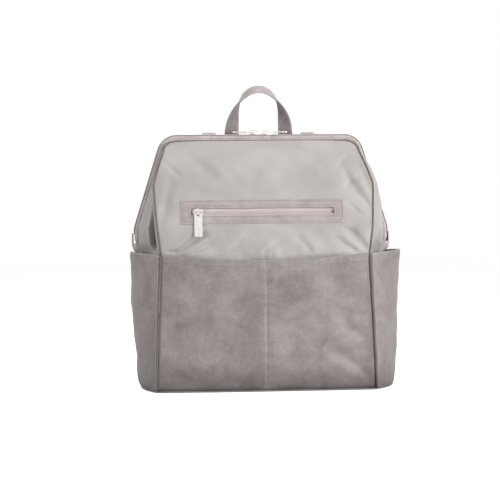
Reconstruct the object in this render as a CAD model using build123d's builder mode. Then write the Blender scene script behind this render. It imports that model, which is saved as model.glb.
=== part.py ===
from build123d import *
import math
import os

# Frame-mouth backpack for baby care gear, in millimetres.
# +Z is up, the front faces -Y, +X is the right-hand side seen from the front.
# Origin: on the ground under the middle of the base, halfway between the front and back walls.

SIDES = ((-1, "left"), (1, "right"))

# ---------------------------------------------------------------- driving dimensions
FABRIC_T = 2.0             # thickness of the front walls and the base
PANEL_Z0 = 2.3             # foot of the front and side walls, just above the base

# front
BASE_HALF_W = 149.0        # half width of the front wall at the ground
SEAM_HALF_W = 140.5        # half width of the front wall at the cross seam
SEAM_Z = 184.0             # height of the seam between the lower and upper front
FRONT_Y = -86.0            # front wall, at its side edges
BASE_CROWN = 5.0           # how far the front wall bows out in the middle, at the ground
SEAM_CROWN = 7.0           # the same at the cross seam

# back: outer face in side view, as (y, z)
BACK_Y = 88.0
BACK_BEND_Z = 200.0        # above this the back leans forward
BACK_LINE = [(BACK_Y, 2.4), (BACK_Y, BACK_BEND_Z), (36.0, 347.0)]
BACK_HALF_W_LOW = 148.0
BACK_HALF_W_TOP = 133.0

# sides
SIDE_BULGE = 157.0         # half width of the side wall at mid depth
SIDE_TOP_Z = 204.0
POCKET_RIM_Z = 190.0
# half width over each side pocket at its rim and foot; the right one flares a little more
POCKET_BULGE = {"left": (187.0, 175.0), "right": (197.0, 187.0)}

# mouth frame
HINGE_Y = 12.0             # the frame's pivot line
HINGE_Z = 212.0
ZIP_Z = 357.0              # mid plane of the mouth zip along the top
LEG_X = 181.0              # half width of the frame at the pivots
LEG_FOOT_Z = HINGE_Z + 5
LEG_BEND_Z = HINGE_Z + 14  # above this the legs lean inwards
CORNER_X = 140.0           # half width of the frame at the top, before rounding
FRAME_R = 28.0             # corner radius of the frame
WIRE_R = 2.0
WIRE_OFFSET = 5.2          # depth of the wire's centre inside the zip's mid plane
FRONT_CHANNEL_Y = (-5.0, 4.5)
REAR_CHANNEL_Y = (2 * HINGE_Y - FRONT_CHANNEL_Y[1], 2 * HINGE_Y - FRONT_CHANNEL_Y[0])
PIN_R = 2.0

# straps
STRAP_TOP_X = 76.0
STRAP_LOW_X = 88.0         # where the pads' lower ends hang
WEB_LOW_X = 118.0          # where the webbing meets its tab near the ground
WEB_W = 25.0
WEB_T = 1.6

# upper front wall, front view: (half width, z)
UPPER_OUTLINE = [
    (141.0, 185.2), (144.0, 200.0), (147.5, 222.0), (149.0, 245.0), (149.0, 283.0),
    (145.5, 305.0), (139.0, 328.0), (131.0, 341.0), (119.0, 346.6),
]
# upper front wall, outer face in side view: (y, z)
UPPER_PROFILE = [(-88.2, SEAM_Z), (-86.0, 224.0), (-67.8, 269.0), (-40.0, 313.0), (-7.4, 346.8)]


# ---------------------------------------------------------------- helpers
def save(label, part):
    part.label = label
    export_step(part, "parts/" + label + ".step")


def along(points, z):
    """The first coordinate of a profile at height z, which lies within the profile."""
    for (a, za), (b, zb) in zip(points, points[1:]):
        if za <= z <= zb:
            return a + (b - a) * (z - za) / (zb - za)


def moved_polyline(points, distance):
    """The polyline shifted to its right-hand side, with mitred corners."""
    normals = []
    for (x0, y0), (x1, y1) in zip(points, points[1:]):
        length = math.hypot(x1 - x0, y1 - y0)
        normals.append(((y1 - y0) / length, -(x1 - x0) / length))
    moved = []
    # each point lies between the segment before it and the one after it
    before_after = zip(points, normals[:1] + normals, normals + normals[-1:])
    for (x, y), (ax, ay), (bx, by) in before_after:
        scale = distance / (1 + ax * bx + ay * by)
        moved.append((x + (ax + bx) * scale, y + (ay + by) * scale))
    return moved


def draw_band(first, second, curve=Polyline):
    """Draw two curves and join their ends, in the caller's line builder."""
    curve(*first)
    curve(*second)
    Line(first[0], second[0])
    Line(first[-1], second[-1])


def rectangle_outline(x0, x1, z0, z1):
    return [(x0, z0), (x1, z0), (x1, z1), (x0, z1)]


def mirrored_outline(edge):
    """A closed front-view outline from its right-hand edge."""
    return [(-x, z) for x, z in edge] + [(x, z) for x, z in reversed(edge)]


def bent_sheet(line, start, end, outline):
    """A sheet bent to a side-view line and trimmed to a front-view outline.

    It lies between the distances start and end on the right-hand side of the line.
    """
    with BuildPart() as sheet:
        with BuildSketch(Plane.YZ):
            with BuildLine():
                draw_band(moved_polyline(line, start), moved_polyline(line, end))
            make_face()
        extrude(amount=200, both=True)
        with BuildSketch(Plane.XZ):
            with BuildLine():
                Polyline(*outline, close=True)
            make_face()
        extrude(amount=300, both=True, mode=Mode.INTERSECT)
    return sheet.part


# ---------------------------------------------------------------- base
def base_panel():
    front_x, front_y = 150.5, -86.5
    front_bow_y = -91.5
    side_x, side_y = 154.0, 84.0       # ends of the bulging side edges
    rear_x = 149.0
    pocket_inset = 1.5
    right_bulge = POCKET_BULGE["right"][1] - pocket_inset
    left_bulge = POCKET_BULGE["left"][1] - pocket_inset
    with BuildPart() as panel:
        with BuildSketch(Plane.XY):
            with BuildLine():
                ThreePointArc((-front_x, front_y), (0, front_bow_y), (front_x, front_y))
                Line((front_x, front_y), (side_x, -side_y))
                ThreePointArc((side_x, -side_y), (right_bulge, 0), (side_x, side_y))
                Line((side_x, side_y), (rear_x, BACK_Y))
                Line((rear_x, BACK_Y), (-rear_x, BACK_Y))
                Line((-rear_x, BACK_Y), (-side_x, side_y))
                ThreePointArc((-side_x, side_y), (-left_bulge, 0), (-side_x, -side_y))
                Line((-side_x, -side_y), (-front_x, front_y))
            make_face()
        extrude(amount=FABRIC_T)
    return panel.part


def base_board():
    width, depth, corner_r, thickness = 280, 150, 12, 2.2
    with BuildPart() as board:
        with BuildSketch(Plane.XY.offset(2.4)):
            RectangleRounded(width, depth, corner_r)
        extrude(amount=thickness)
    return board.part


# ---------------------------------------------------------------- lower front
def front_lower_panel(sign):
    """One half of the lower front, from the side edge to the middle seam."""
    middle_x = 0.3
    sections = (  # z, half width, crown
        (PANEL_Z0, BASE_HALF_W, BASE_CROWN),
        (SEAM_Z, SEAM_HALF_W, SEAM_CROWN),
    )
    with BuildPart() as panel:
        for z, half_w, crown in sections:
            outer = [(sign * x, FRONT_Y - crown * (1 - (x / half_w) ** 2))
                     for x in (half_w, half_w / 2, middle_x)]
            inner = [(x, y + FABRIC_T) for x, y in outer]
            with BuildSketch(Plane.XY.offset(z)):
                with BuildLine():
                    draw_band(outer, inner, ThreePointArc)
                make_face()
        loft()
    return panel.part


# ---------------------------------------------------------------- side walls and side pockets
def wall_arcs(sign, front, bulge, rear, thickness):
    """Outer and inner arc points of a side wall in plan, bulging most at mid depth.

    front and rear are (half width, y) of the arc's ends.
    """
    outer = [(sign * front[0], front[1]), (sign * bulge, 0.0), (sign * rear[0], rear[1])]
    inner = [(x - sign * thickness, y) for x, y in outer]
    return outer, inner


def side_panel(sign):
    thickness = 1.5
    outer, inner = wall_arcs(sign, (146.0, -81.0), SIDE_BULGE, (144.0, 79.0), thickness)
    with BuildPart() as wall:
        with BuildSketch(Plane.XY.offset(PANEL_Z0)):
            with BuildLine():
                draw_band(outer, inner, ThreePointArc)
            make_face()
        extrude(amount=SIDE_TOP_Z - PANEL_Z0)
    return wall.part


def flared_wall(sign, sections, rear_x, end_y, thickness):
    """A bulging wall lofted between plan sections given as (z, front half width, bulge)."""
    with BuildPart() as wall:
        for z, front_x, bulge in sections:
            outer, inner = wall_arcs(sign, (front_x, -end_y), bulge, (rear_x, end_y), thickness)
            with BuildSketch(Plane.XY.offset(z)):
                with BuildLine():
                    draw_band(outer, inner, ThreePointArc)
                make_face()
        loft()
    return wall.part


def side_pocket(sign, side):
    rim_bulge, foot_bulge = POCKET_BULGE[side]
    sections = ((PANEL_Z0, 156.3, foot_bulge), (POCKET_RIM_Z, 148.6, rim_bulge))
    return flared_wall(sign, sections, rear_x=155.0, end_y=84.8, thickness=2.2)


def pocket_lining(sign, side):
    inset = 3.2                # from the pocket's outer face, at mid depth
    rim_bulge, foot_bulge = POCKET_BULGE[side]
    sections = ((4.0, 153.5, foot_bulge - inset),
                (POCKET_RIM_Z - 1.0, 150.6, rim_bulge - inset))
    return flared_wall(sign, sections, rear_x=152.0, end_y=74.0, thickness=0.8)


# ---------------------------------------------------------------- piping
def piping(curve, points, radius):
    """A round cord along a Line or Spline through the points."""
    with BuildPart() as cord:
        with BuildLine() as run:
            curve(*points)
        with BuildSketch(Plane(origin=run.line @ 0, z_dir=run.line % 0)):
            Circle(radius)
        sweep()
    return cord.part


def lower_piping(sign):
    """Along the seam between the front wall and the side pocket."""
    y = -87.4
    ends = (sign * 151.7, y, 3.0), (sign * 143.2, y, SEAM_Z - 0.5)
    return piping(Line, ends, radius=1.7)


def upper_piping(sign):
    """Along the side edge of the upper front wall."""
    outward, inward = 2.0, 1.2         # clear of the edge in x, behind the outer face in y
    heights = (188.0, 205.0, 224.0, 245.0, 268.0, 290.0, 310.0, 326.0)
    points = [(sign * (along(UPPER_OUTLINE, z) + outward), along(UPPER_PROFILE, z) + inward, z)
              for z in heights]
    return piping(Spline, points, radius=1.5)


# ---------------------------------------------------------------- padded back
def back_outline(inset, z0, z1):
    low, top = BACK_HALF_W_LOW - inset, BACK_HALF_W_TOP - inset
    corner = 14                # bevel of the top corners
    return [(-low, z0), (low, z0), (low, BACK_BEND_Z), (top, z1 - corner), (top - corner, z1),
            (-top + corner, z1), (-top, z1 - corner), (-low, BACK_BEND_Z)]


def back_panel():
    top_edge = (30.6, 350.4)
    return bent_sheet(BACK_LINE + [top_edge], -2.0, 0.0, back_outline(0.0, 2.4, 351.0))


def back_foam():
    return bent_sheet(BACK_LINE, -9.3, -2.3, back_outline(6.0, 6.0, 338.0))


def trolley_sleeve():
    return bent_sheet(BACK_LINE, 0.4, 2.0, rectangle_outline(-140, 140, 100, 186))


# ---------------------------------------------------------------- upper front and its zip pocket
PATCH_X = -3.5             # the patch sits slightly off the middle
PATCH_W, PATCH_H, PATCH_T = 224.0, 36.0, 1.2
SLOT_W, SLOT_H = 198.0, 9.6


def slope_directions():
    """The middle of the profile's second segment, and the unit vector out of its face."""
    (ya, za), (yb, zb) = UPPER_PROFILE[1:3]
    length = math.hypot(yb - ya, zb - za)
    up = Vector(0, (yb - ya) / length, (zb - za) / length)
    return Vector(PATCH_X, (ya + yb) / 2, (za + zb) / 2), Vector(1, 0, 0).cross(up)


PATCH_MID, PATCH_OUT = slope_directions()
PATCH_PLANE = Plane(origin=PATCH_MID, x_dir=(1, 0, 0), z_dir=PATCH_OUT)


def front_upper_panel():
    cut_depth = 12
    wall = bent_sheet(UPPER_PROFILE, 0.0, FABRIC_T, mirrored_outline(UPPER_OUTLINE))
    with BuildPart() as panel:
        add(wall)
        with BuildSketch(PATCH_PLANE.offset(-cut_depth / 2)):
            Rectangle(SLOT_W, SLOT_H + 2)
        extrude(amount=cut_depth, mode=Mode.SUBTRACT)
    return panel.part


def pocket_zip_patch():
    with BuildPart() as patch:
        with BuildSketch(PATCH_PLANE.offset(0.3)):
            RectangleRounded(PATCH_W, PATCH_H, 3.0)
            RectangleRounded(SLOT_W, SLOT_H, 1.5, mode=Mode.SUBTRACT)
        extrude(amount=PATCH_T)
    return patch.part


def pocket_zip_pair(offset, spacing, length, width, thickness):
    """Two parallel strips, spacing above and below the zip's middle line."""
    with BuildPart() as pair:
        with BuildSketch(PATCH_PLANE.offset(offset)):
            for v in (-1, 1):
                with Locations((0, v * spacing)):
                    Rectangle(length, width)
        extrude(amount=thickness)
    return pair.part


def pocket_zip_tapes():
    return pocket_zip_pair(-3.2, spacing=5.2, length=SLOT_W + 10, width=5.8, thickness=0.6)


def pocket_zip_teeth():
    return pocket_zip_pair(-4.0, spacing=1.35, length=SLOT_W - 4, width=1.7, thickness=2.2)


def front_pocket_bag():
    """The single sheet hanging behind the pocket zip."""
    foot_z = 60.0
    line = [(UPPER_PROFILE[0][0] + 8.8, foot_z)] + moved_polyline(UPPER_PROFILE[:3], 9.0)
    return bent_sheet(line, 0.0, 1.0, rectangle_outline(-105, 105, foot_z, 262))


# ---------------------------------------------------------------- mouth outline
def mouth_x(z):
    """Half width of the mouth's outline at height z."""
    lean = (LEG_X - CORNER_X) * (z - LEG_BEND_Z) / (ZIP_Z - LEG_BEND_Z)
    return LEG_X - max(0.0, lean)


MOUTH = [(-LEG_X, LEG_FOOT_Z), (-LEG_X, LEG_BEND_Z), (-CORNER_X, ZIP_Z),
         (CORNER_X, ZIP_Z), (LEG_X, LEG_BEND_Z), (LEG_X, LEG_FOOT_Z)]
# the fabric channels start above the wire's feet
CHANNEL_Z0 = HINGE_Z + 20
MOUTH_UPPER = [(-mouth_x(CHANNEL_Z0), CHANNEL_Z0), (-CORNER_X, ZIP_Z),
               (CORNER_X, ZIP_Z), (mouth_x(CHANNEL_Z0), CHANNEL_Z0)]


def draw_mouth_band(run, shallow, deep):
    """Draw the outline between two depths inside the run, in the caller's line builder."""
    outer = moved_polyline(run, shallow)
    inner = moved_polyline(run, deep)
    FilletPolyline(*outer, radius=FRAME_R - shallow)
    FilletPolyline(*inner, radius=FRAME_R - deep)
    Line(outer[0], inner[0])
    Line(outer[-1], inner[-1])


# ---------------------------------------------------------------- gussets beside the mouth frame
GUSSET_HEIGHTS = (206.0, 240.0, 283.0, 322.0)
GUSSET_T = 1.2
BACK_EDGE = [(BACK_HALF_W_LOW, BACK_BEND_Z), (BACK_HALF_W_TOP, 346.6)]  # half width, z


def front_gusset_run(z):
    """Plan-view ends at height z, from the front wall to the front channel."""
    wall_end = (along(UPPER_OUTLINE, z) - 1.5, along(UPPER_PROFILE, z) + 3.4)
    frame_end = (mouth_x(z) - WIRE_OFFSET + 0.5, FRONT_CHANNEL_Y[0] - 0.7)
    return wall_end, frame_end


def rear_gusset_run(z):
    """Plan-view ends at height z, from the padded back to the rear channel."""
    setback = 10.4 if z < GUSSET_HEIGHTS[-1] else 9.8
    wall_end = (along(BACK_EDGE, z) - 3.5, along(BACK_LINE, z) - setback)
    frame_end = (mouth_x(z) - WIRE_OFFSET + 0.5, REAR_CHANNEL_Y[1] + 1.9)
    return wall_end, frame_end


def gusset(sign, run_at, thickness):
    """A straight wall between the ends from run_at; thickness is signed, to the run's right."""
    with BuildPart() as wall:
        for z in GUSSET_HEIGHTS:
            run = list(run_at(z))
            corners = run + moved_polyline(run, thickness)[::-1]
            with BuildSketch(Plane.XY.offset(z)):
                with BuildLine():
                    Polyline(*[(sign * x, y) for x, y in corners], close=True)
                make_face()
        loft(ruled=True)
    return wall.part


# ---------------------------------------------------------------- mouth frame
TAPE_HALF_T = 0.4
TEETH_HALF_T = 1.1
TAPE_GAP = 2.75                # from the pivot line to each tape
TAPE_INSET = 1.0               # from a channel's far face to the tape's edge
TEETH_NEAR, TEETH_FAR = 0.5, 2.65   # reach of the teeth from the pivot line


def frame_channel(channel_y):
    """The fabric channel round one wire, with a square bore for the wire."""
    shallow, deep = 0.7, 9.7
    bore_half = WIRE_R + 0.3
    y0, y1 = channel_y
    bore_y1 = (y0 + y1) / 2 + bore_half
    with BuildPart() as channel:
        with BuildSketch(Plane.XZ.offset(-y1)):
            with BuildLine():
                draw_mouth_band(MOUTH_UPPER, shallow, deep)
            make_face()
        extrude(amount=y1 - y0)
        with BuildSketch(Plane.XZ.offset(-bore_y1)):
            with BuildLine():
                draw_mouth_band(MOUTH_UPPER, WIRE_OFFSET - bore_half, WIRE_OFFSET + bore_half)
            make_face()
        extrude(amount=2 * bore_half, mode=Mode.SUBTRACT)
    return channel.part


def zip_band(half_t, y0, y1):
    """A band along the whole mouth, half_t to each side of the zip's mid plane."""
    with BuildPart() as band:
        with BuildSketch(Plane.XZ.offset(-y1)):
            with BuildLine():
                draw_mouth_band(MOUTH, -half_t, half_t)
            make_face()
        extrude(amount=y1 - y0)
    return band.part


def frame_wire(channel_y, eye_x0, eye_x1):
    """Round wire bent to the mouth's outline, with a flat eye at each foot for the pivot pin."""
    eye_r, neck_r = 6.0, 3.4
    pin_clearance = 0.05
    wire_y = sum(channel_y) / 2
    path_points = moved_polyline(MOUTH, WIRE_OFFSET)
    hinge = (HINGE_Y, HINGE_Z)
    foot = (wire_y, HINGE_Z + 9)
    # the neck tapers from nothing: it is a straight bar, neck_r to each side of hinge to foot
    neck = moved_polyline([hinge, foot], -neck_r) + moved_polyline([hinge, foot], neck_r)[::-1]
    with BuildPart() as wire:
        with BuildLine(Plane.XZ.offset(-wire_y)) as path:
            FilletPolyline(*path_points, radius=FRAME_R - WIRE_OFFSET)
        with BuildSketch(Plane(origin=path.line @ 0, z_dir=path.line % 0)):
            Circle(WIRE_R)
        sweep()
        for sign in (-1, 1):
            with BuildSketch(Plane.YZ.offset(sign * eye_x0)):
                with Locations(hinge):
                    Circle(eye_r)
                with Locations(foot):
                    Circle(neck_r)
                with BuildLine():
                    Polyline(*neck, close=True)
                make_face()
                with Locations(hinge):
                    Circle(PIN_R + pin_clearance, mode=Mode.SUBTRACT)
            extrude(amount=sign * (eye_x1 - eye_x0))
    return wire.part


def frame_pivot_rivets():
    """A pin with a head at each end, through the wires' eyes on each side."""
    discs = (  # radius, inner x, length
        (PIN_R, 172.3, 6.4),
        (3.6, 172.2, 1.1),
        (3.6, 177.7, 1.1),
    )
    with BuildPart() as rivets:
        for sign in (-1, 1):
            for radius, x, length in discs:
                with BuildSketch(Plane.YZ.offset(sign * x)):
                    with Locations((HINGE_Y, HINGE_Z)):
                        Circle(radius)
                extrude(amount=sign * length)
    return rivets.part


def zip_end_tabs():
    size, corner_r, thickness = 20, 4, 1.4
    with BuildPart() as tabs:
        for sign in (-1, 1):
            with BuildSketch(Plane.YZ.offset(sign * 183.0)):
                with Locations((HINGE_Y, HINGE_Z - 3)):
                    RectangleRounded(size, size, corner_r)
            extrude(amount=sign * thickness)
    return tabs.part


# ---------------------------------------------------------------- zip sliders and pulls
# In a slider's base plane x runs along the zip and z away from it.
# wing outline: (along the zip, across the zip)
WING_OUTLINE = [(6.5, -3.6), (6.5, 3.6), (-1.0, 4.8), (-5.2, 4.2), (-6.8, 1.6), (-6.8, -1.6),
                (-5.2, -4.2), (-1.0, -4.8)]
# bridge outline, seen from the side: (along the zip, height)
BRIDGE_OUTLINE = [(-5.4, 2.8), (-5.4, 5.7), (-3.6, 7.7), (3.6, 7.7), (5.4, 5.7), (5.4, 2.8),
                  (4.3, 2.8), (4.3, 5.4), (3.1, 6.6), (-3.1, 6.6), (-4.3, 5.4), (-4.3, 2.8)]
WING_T = 1.5
LIP_H = 0.8

POCKET_SLIDER_PLANE = Plane(origin=PATCH_MID + PATCH_OUT * -2.9 + Vector(-88.5, 0, 0),
                            x_dir=(1, 0, 0), z_dir=PATCH_OUT)


def mouth_slider_plane(sign):
    return Plane(origin=(sign * 9.2, HINGE_Y, ZIP_Z), x_dir=(sign, 0, 0), z_dir=(0, 0, 1))


def upright_plane(base):
    """The plane along the zip and square to it: x along the zip, y away from it."""
    return Plane(origin=base.origin, x_dir=base.x_dir, z_dir=base.y_dir * -1)


def slider(base, lips):
    """Two wings joined by a post, with edge lips and a bridge for the pull.

    lips lists which long edges have lips: -1 and 1 for the base plane's -y and +y.
    """
    with BuildPart() as body:
        for wing_z in (1.5, -3.0):
            with BuildSketch(base.offset(wing_z)) as wing:
                with BuildLine():
                    Polyline(*WING_OUTLINE, close=True)
                make_face()
                fillet(wing.vertices(), 0.7)
            extrude(amount=WING_T)
        # the post overlaps both wings
        with BuildSketch(base.offset(-1.6)):
            with Locations((-5.0, 0)):
                Rectangle(2.6, 0.6)
        extrude(amount=3.2)
        for edge in lips:
            for lip_z in (0.8, -1.6):
                with BuildSketch(base.offset(lip_z)):
                    with Locations((-0.5, edge * 3.9)):
                        Rectangle(9.0, 0.8)
                extrude(amount=LIP_H)
        with BuildSketch(upright_plane(base)):
            with BuildLine():
                Polyline(*BRIDGE_OUTLINE, close=True)
            make_face()
        extrude(amount=0.8, both=True)
    return body.part


def flat_pull(base):
    """A pull with two ears and a crossbar caught under the bridge, lying along the zip."""
    bar_r, bar_z, bar_half = 0.9, 4.5, 3.4
    pull_z, thickness = 3.7, 1.6
    plate_start, length, width = 7.6, 22.0, 9.0
    with BuildPart() as pull:
        with BuildSketch(upright_plane(base)):
            with Locations((0, bar_z)):
                Circle(bar_r)
        extrude(amount=bar_half, both=True)
        for v in (-1, 1):
            with BuildSketch(base.offset(pull_z)):
                with Locations((4.3, v * 2.75)):
                    Rectangle(9.6, 1.3)
            extrude(amount=thickness)
        with BuildSketch(base.offset(pull_z)):
            with Locations((plate_start + length / 2, 0)):
                RectangleRounded(length, width, 1.5)
            with Locations((plate_start + length - 4.0, 0)):
                SlotOverall(width - 4.0, 2.4, rotation=90, mode=Mode.SUBTRACT)
        extrude(amount=thickness)
    return pull.part


def pocket_pull_link():
    """A closed loop round the top of the bridge, in the plane across the zip."""
    base = POCKET_SLIDER_PLANE
    with BuildPart() as link:
        with BuildSketch(Plane(origin=base.origin, x_dir=base.y_dir, z_dir=base.x_dir)):
            with Locations((-2.1, 7.0)):
                RectangleRounded(10.2, 4.6, 1.6)
                RectangleRounded(8.0, 2.8, 0.9, mode=Mode.SUBTRACT)
        extrude(amount=0.6, both=True)
    return link.part


def pocket_puller():
    """A plate hanging down from the link, which passes through its hole."""
    width, length, thickness = 11.0, 34.0, 1.4
    hole_y, hole_w, hole_h = -6.65, 3.2, 2.6
    top_margin = 2.6           # from the hole's middle to the top edge
    with BuildPart() as pull:
        with BuildSketch(POCKET_SLIDER_PLANE.offset(5.9)):
            with Locations((0, hole_y + top_margin - length / 2)):
                RectangleRounded(width, length, 1.2)
            with Locations((0, hole_y)):
                RectangleRounded(hole_w, hole_h, 0.6, mode=Mode.SUBTRACT)
        extrude(amount=thickness)
    return pull.part


# ---------------------------------------------------------------- grab handle
HANDLE_X = 40.0            # half the distance between the handle's feet
HANDLE_Y = 40.0
HANDLE_BASE_Z = 351.0
HANDLE_TOP_Z = 424.0
HANDLE_LEAN = 0.25         # forward lean of the arch, per unit of height
HANDLE_W = 22.0
HANDLE_T = 3.0
HANDLE_STEPS = 16


def handle_stations():
    """The arch's points from left to right, each with the sine of its angle round the arch."""
    stations = []
    for i in range(HANDLE_STEPS + 1):
        angle = math.radians(180.0 * i / HANDLE_STEPS)
        sine = math.sin(angle)
        rise = (HANDLE_TOP_Z - HANDLE_BASE_Z) * sine ** 0.8
        point = Vector(-HANDLE_X * math.cos(angle), HANDLE_Y - HANDLE_LEAN * rise,
                       HANDLE_BASE_Z + rise)
        stations.append((point, sine))
    return stations


def top_handle():
    """A flat strap that turns as it arches."""
    stations = handle_stations()
    foot_tangent = Vector(0, -HANDLE_LEAN, 1).normalized()
    with BuildPart() as handle:
        for i, (point, sine) in enumerate(stations):
            if i == 0:
                tangent = foot_tangent
            elif i == HANDLE_STEPS:
                tangent = foot_tangent * -1
            else:
                tangent = (stations[i + 1][0] - stations[i - 1][0]).normalized()
            # the strap's width runs left to right at its feet and front to back over the top
            turn = sine ** 0.7
            facing = 1 if i < HANDLE_STEPS / 2 else -1
            across = Vector(facing * (1 - turn), turn * 0.85, turn * 0.5)
            across = (across - tangent * across.dot(tangent)).normalized()
            with BuildSketch(Plane(origin=point, x_dir=across, z_dir=tangent)):
                Rectangle(HANDLE_W, HANDLE_T)
        loft(ruled=True)
    return handle.part


def handle_ends():
    """A square on the back below each foot of the handle."""
    x0, x1 = HANDLE_X - HANDLE_W / 2, HANDLE_X + HANDLE_W / 2
    with BuildPart() as ends:
        for sign in (-1, 1):
            outline = rectangle_outline(sign * x0, sign * x1, 322, 344)
            add(bent_sheet(BACK_LINE, 0.4, 3.0, outline))
    return ends.part


# ---------------------------------------------------------------- shoulder straps
ADJUSTER_Y = 98.0                  # y of the adjuster's bars
BAR_Z = (140.0, 131.0, 122.0)
WRAP_OUT = 3.5                     # webbing's outer face, either side of the bars
WRAP_IN = WRAP_OUT - WEB_T
WEB_JOIN_Z = 118.0                 # where the webbing leaves the adjuster

# strap pad, front view on the right-hand side: (centre x, half width, z)
PAD_STATIONS = [
    (STRAP_LOW_X, 16, 150), (STRAP_LOW_X, 22, 164), (82, 22, 230),
    (STRAP_TOP_X, 22, 300), (STRAP_TOP_X, 14, 345),
]
# middle of the folded top anchor, side view: (y, z)
ANCHOR_LINE = [(46.2, 322.5), (38.0, 346.0), (40.2, 362.0), (44.2, 362.0), (47.2, 349.5)]
# lower tab, front view on the right-hand side: (x, z)
LOW_TAB_OUTLINE = [(92, 5), (144, 5), (144, 30), (128, 40), (100, 40), (92, 30)]
# inner face of the webbing below the adjuster, side view: (y, z)
WEB_RUN = [(ADJUSTER_Y - WRAP_OUT, WEB_JOIN_Z), (95.5, 96.0), (96.0, 70.0),
           (93.4, 42.0), (91.8, 34.0), (91.8, 9.0)]


def strap_top_anchors():
    half_t = 0.8
    with BuildPart() as anchors:
        for sign in (-1, 1):
            with BuildSketch(Plane.YZ.offset(sign * 72.0)):
                with BuildLine():
                    draw_band(moved_polyline(ANCHOR_LINE, -half_t),
                              moved_polyline(ANCHOR_LINE, half_t))
                make_face()
            extrude(amount=10, both=True)
    return anchors.part


def strap_lower_tabs():
    with BuildPart() as tabs:
        for sign in (-1, 1):
            with BuildSketch(Plane.XZ.offset(-88.4)):
                with BuildLine():
                    Polyline(*[(sign * x, z) for x, z in LOW_TAB_OUTLINE], close=True)
                make_face()
            extrude(amount=-2.8)
    return tabs.part


def strap_pad(sign):
    gap, thickness = 6.0, 8.0
    line_top_z = 341.0
    line = [(BACK_Y, 149.0), (BACK_Y, BACK_BEND_Z), (along(BACK_LINE, line_top_z), line_top_z)]
    outline = [(sign * (x + half_w), z) for x, half_w, z in PAD_STATIONS]
    outline += [(sign * (x - half_w), z) for x, half_w, z in reversed(PAD_STATIONS)]
    return bent_sheet(line, gap, gap + thickness, outline)


def strap_loop(sign):
    """Sewn loop of webbing that holds the adjuster on the end of the pad."""
    top_z, bottom_z = 148.6, 136.5
    outer = [(ADJUSTER_Y - WRAP_OUT, top_z), (ADJUSTER_Y - WRAP_OUT, bottom_z),
             (ADJUSTER_Y + WRAP_OUT, bottom_z), (ADJUSTER_Y + WRAP_OUT, top_z)]
    inner = [(ADJUSTER_Y + WRAP_IN, top_z), (ADJUSTER_Y + WRAP_IN, bottom_z + WEB_T),
             (ADJUSTER_Y - WRAP_IN, bottom_z + WEB_T), (ADJUSTER_Y - WRAP_IN, top_z)]
    with BuildPart() as loop:
        with BuildSketch(Plane.YZ.offset(sign * STRAP_LOW_X)):
            with BuildLine():
                Polyline(*outer, *inner, close=True)
            make_face()
        extrude(amount=WEB_W / 2, both=True)
    return loop.part


def adjuster(sign):
    """Three round bars between two upright side pieces."""
    bar_r, bar_half = 1.5, 14.5
    cheek_x, cheek_w, cheek_depth = 15.0, 3.2, 3.6
    with BuildPart() as buckle:
        for z in BAR_Z:
            with BuildSketch(Plane.YZ.offset(sign * STRAP_LOW_X)):
                with Locations((ADJUSTER_Y, z)):
                    Circle(bar_r)
            extrude(amount=bar_half, both=True)
        for x in (-cheek_x, cheek_x):
            with BuildSketch(Plane.YZ.offset(sign * STRAP_LOW_X + x - cheek_w / 2)):
                with Locations((ADJUSTER_Y, (BAR_Z[0] + BAR_Z[2]) / 2)):
                    RectangleRounded(cheek_depth, BAR_Z[0] - BAR_Z[2] + 4.4, 1.2)
            extrude(amount=cheek_w)
    return buckle.part


def strap_webbing(sign):
    """Webbing up behind the lower bar and over the middle bar, its tail hanging outside."""
    top_z, tail_z, tail_out = 134.5, 84.0, 5.5
    outer = [(ADJUSTER_Y - WRAP_OUT, WEB_JOIN_Z), (ADJUSTER_Y - WRAP_OUT, top_z),
             (ADJUSTER_Y + WRAP_OUT, top_z), (ADJUSTER_Y + tail_out, tail_z)]
    inner = [(ADJUSTER_Y + tail_out - WEB_T, tail_z), (ADJUSTER_Y + WRAP_IN, top_z - WEB_T),
             (ADJUSTER_Y - WRAP_IN, top_z - WEB_T), (ADJUSTER_Y - WRAP_IN, WEB_JOIN_Z)]
    half_w = WEB_W / 2
    # the lower run slants outwards to the tab; its top overlaps the upper run a little
    slant = [(STRAP_LOW_X - half_w, WEB_JOIN_Z + 0.1), (STRAP_LOW_X + half_w, WEB_JOIN_Z + 0.1),
             (WEB_LOW_X + half_w, 40), (WEB_LOW_X + half_w, 8),
             (WEB_LOW_X - half_w, 8), (WEB_LOW_X - half_w, 40)]
    with BuildPart() as webbing:
        with BuildSketch(Plane.YZ.offset(sign * STRAP_LOW_X)):
            with BuildLine():
                Polyline(*outer, *inner, close=True)
            make_face()
        extrude(amount=half_w, both=True)
        with BuildSketch(Plane.YZ) as side_view:
            with BuildLine():
                draw_band(WEB_RUN, moved_polyline(WEB_RUN, -WEB_T))
            make_face()
        with BuildSketch(Plane.XZ) as front_view:
            with BuildLine():
                Polyline(*[(sign * x, z) for x, z in slant], close=True)
            make_face()
        add(extrude(side_view.sketch, amount=200, both=True, mode=Mode.PRIVATE)
            & extrude(front_view.sketch, amount=200, both=True, mode=Mode.PRIVATE))
    return webbing.part


# ---------------------------------------------------------------- lining and inner pocket
def lining():
    """An open-topped box."""
    width, depth, corner_r, height = 284, 152, 14, 194
    foot_z, wall = 5.2, 1
    with BuildPart() as box:
        with BuildSketch(Plane.XY.offset(foot_z)):
            RectangleRounded(width, depth, corner_r)
        extrude(amount=height)
        with BuildSketch(Plane.XY.offset(foot_z + wall)):
            RectangleRounded(width - 2 * wall, depth - 2 * wall, corner_r - wall)
        extrude(amount=200, mode=Mode.SUBTRACT)
    return box.part


def inner_rear_pocket():
    with BuildPart() as pocket:
        with BuildSketch(Plane.XZ.offset(-72.2)):
            with Locations((0, 112)):
                RectangleRounded(220, 120, 6)
        extrude(amount=-1.0)
    return pocket.part


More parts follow.
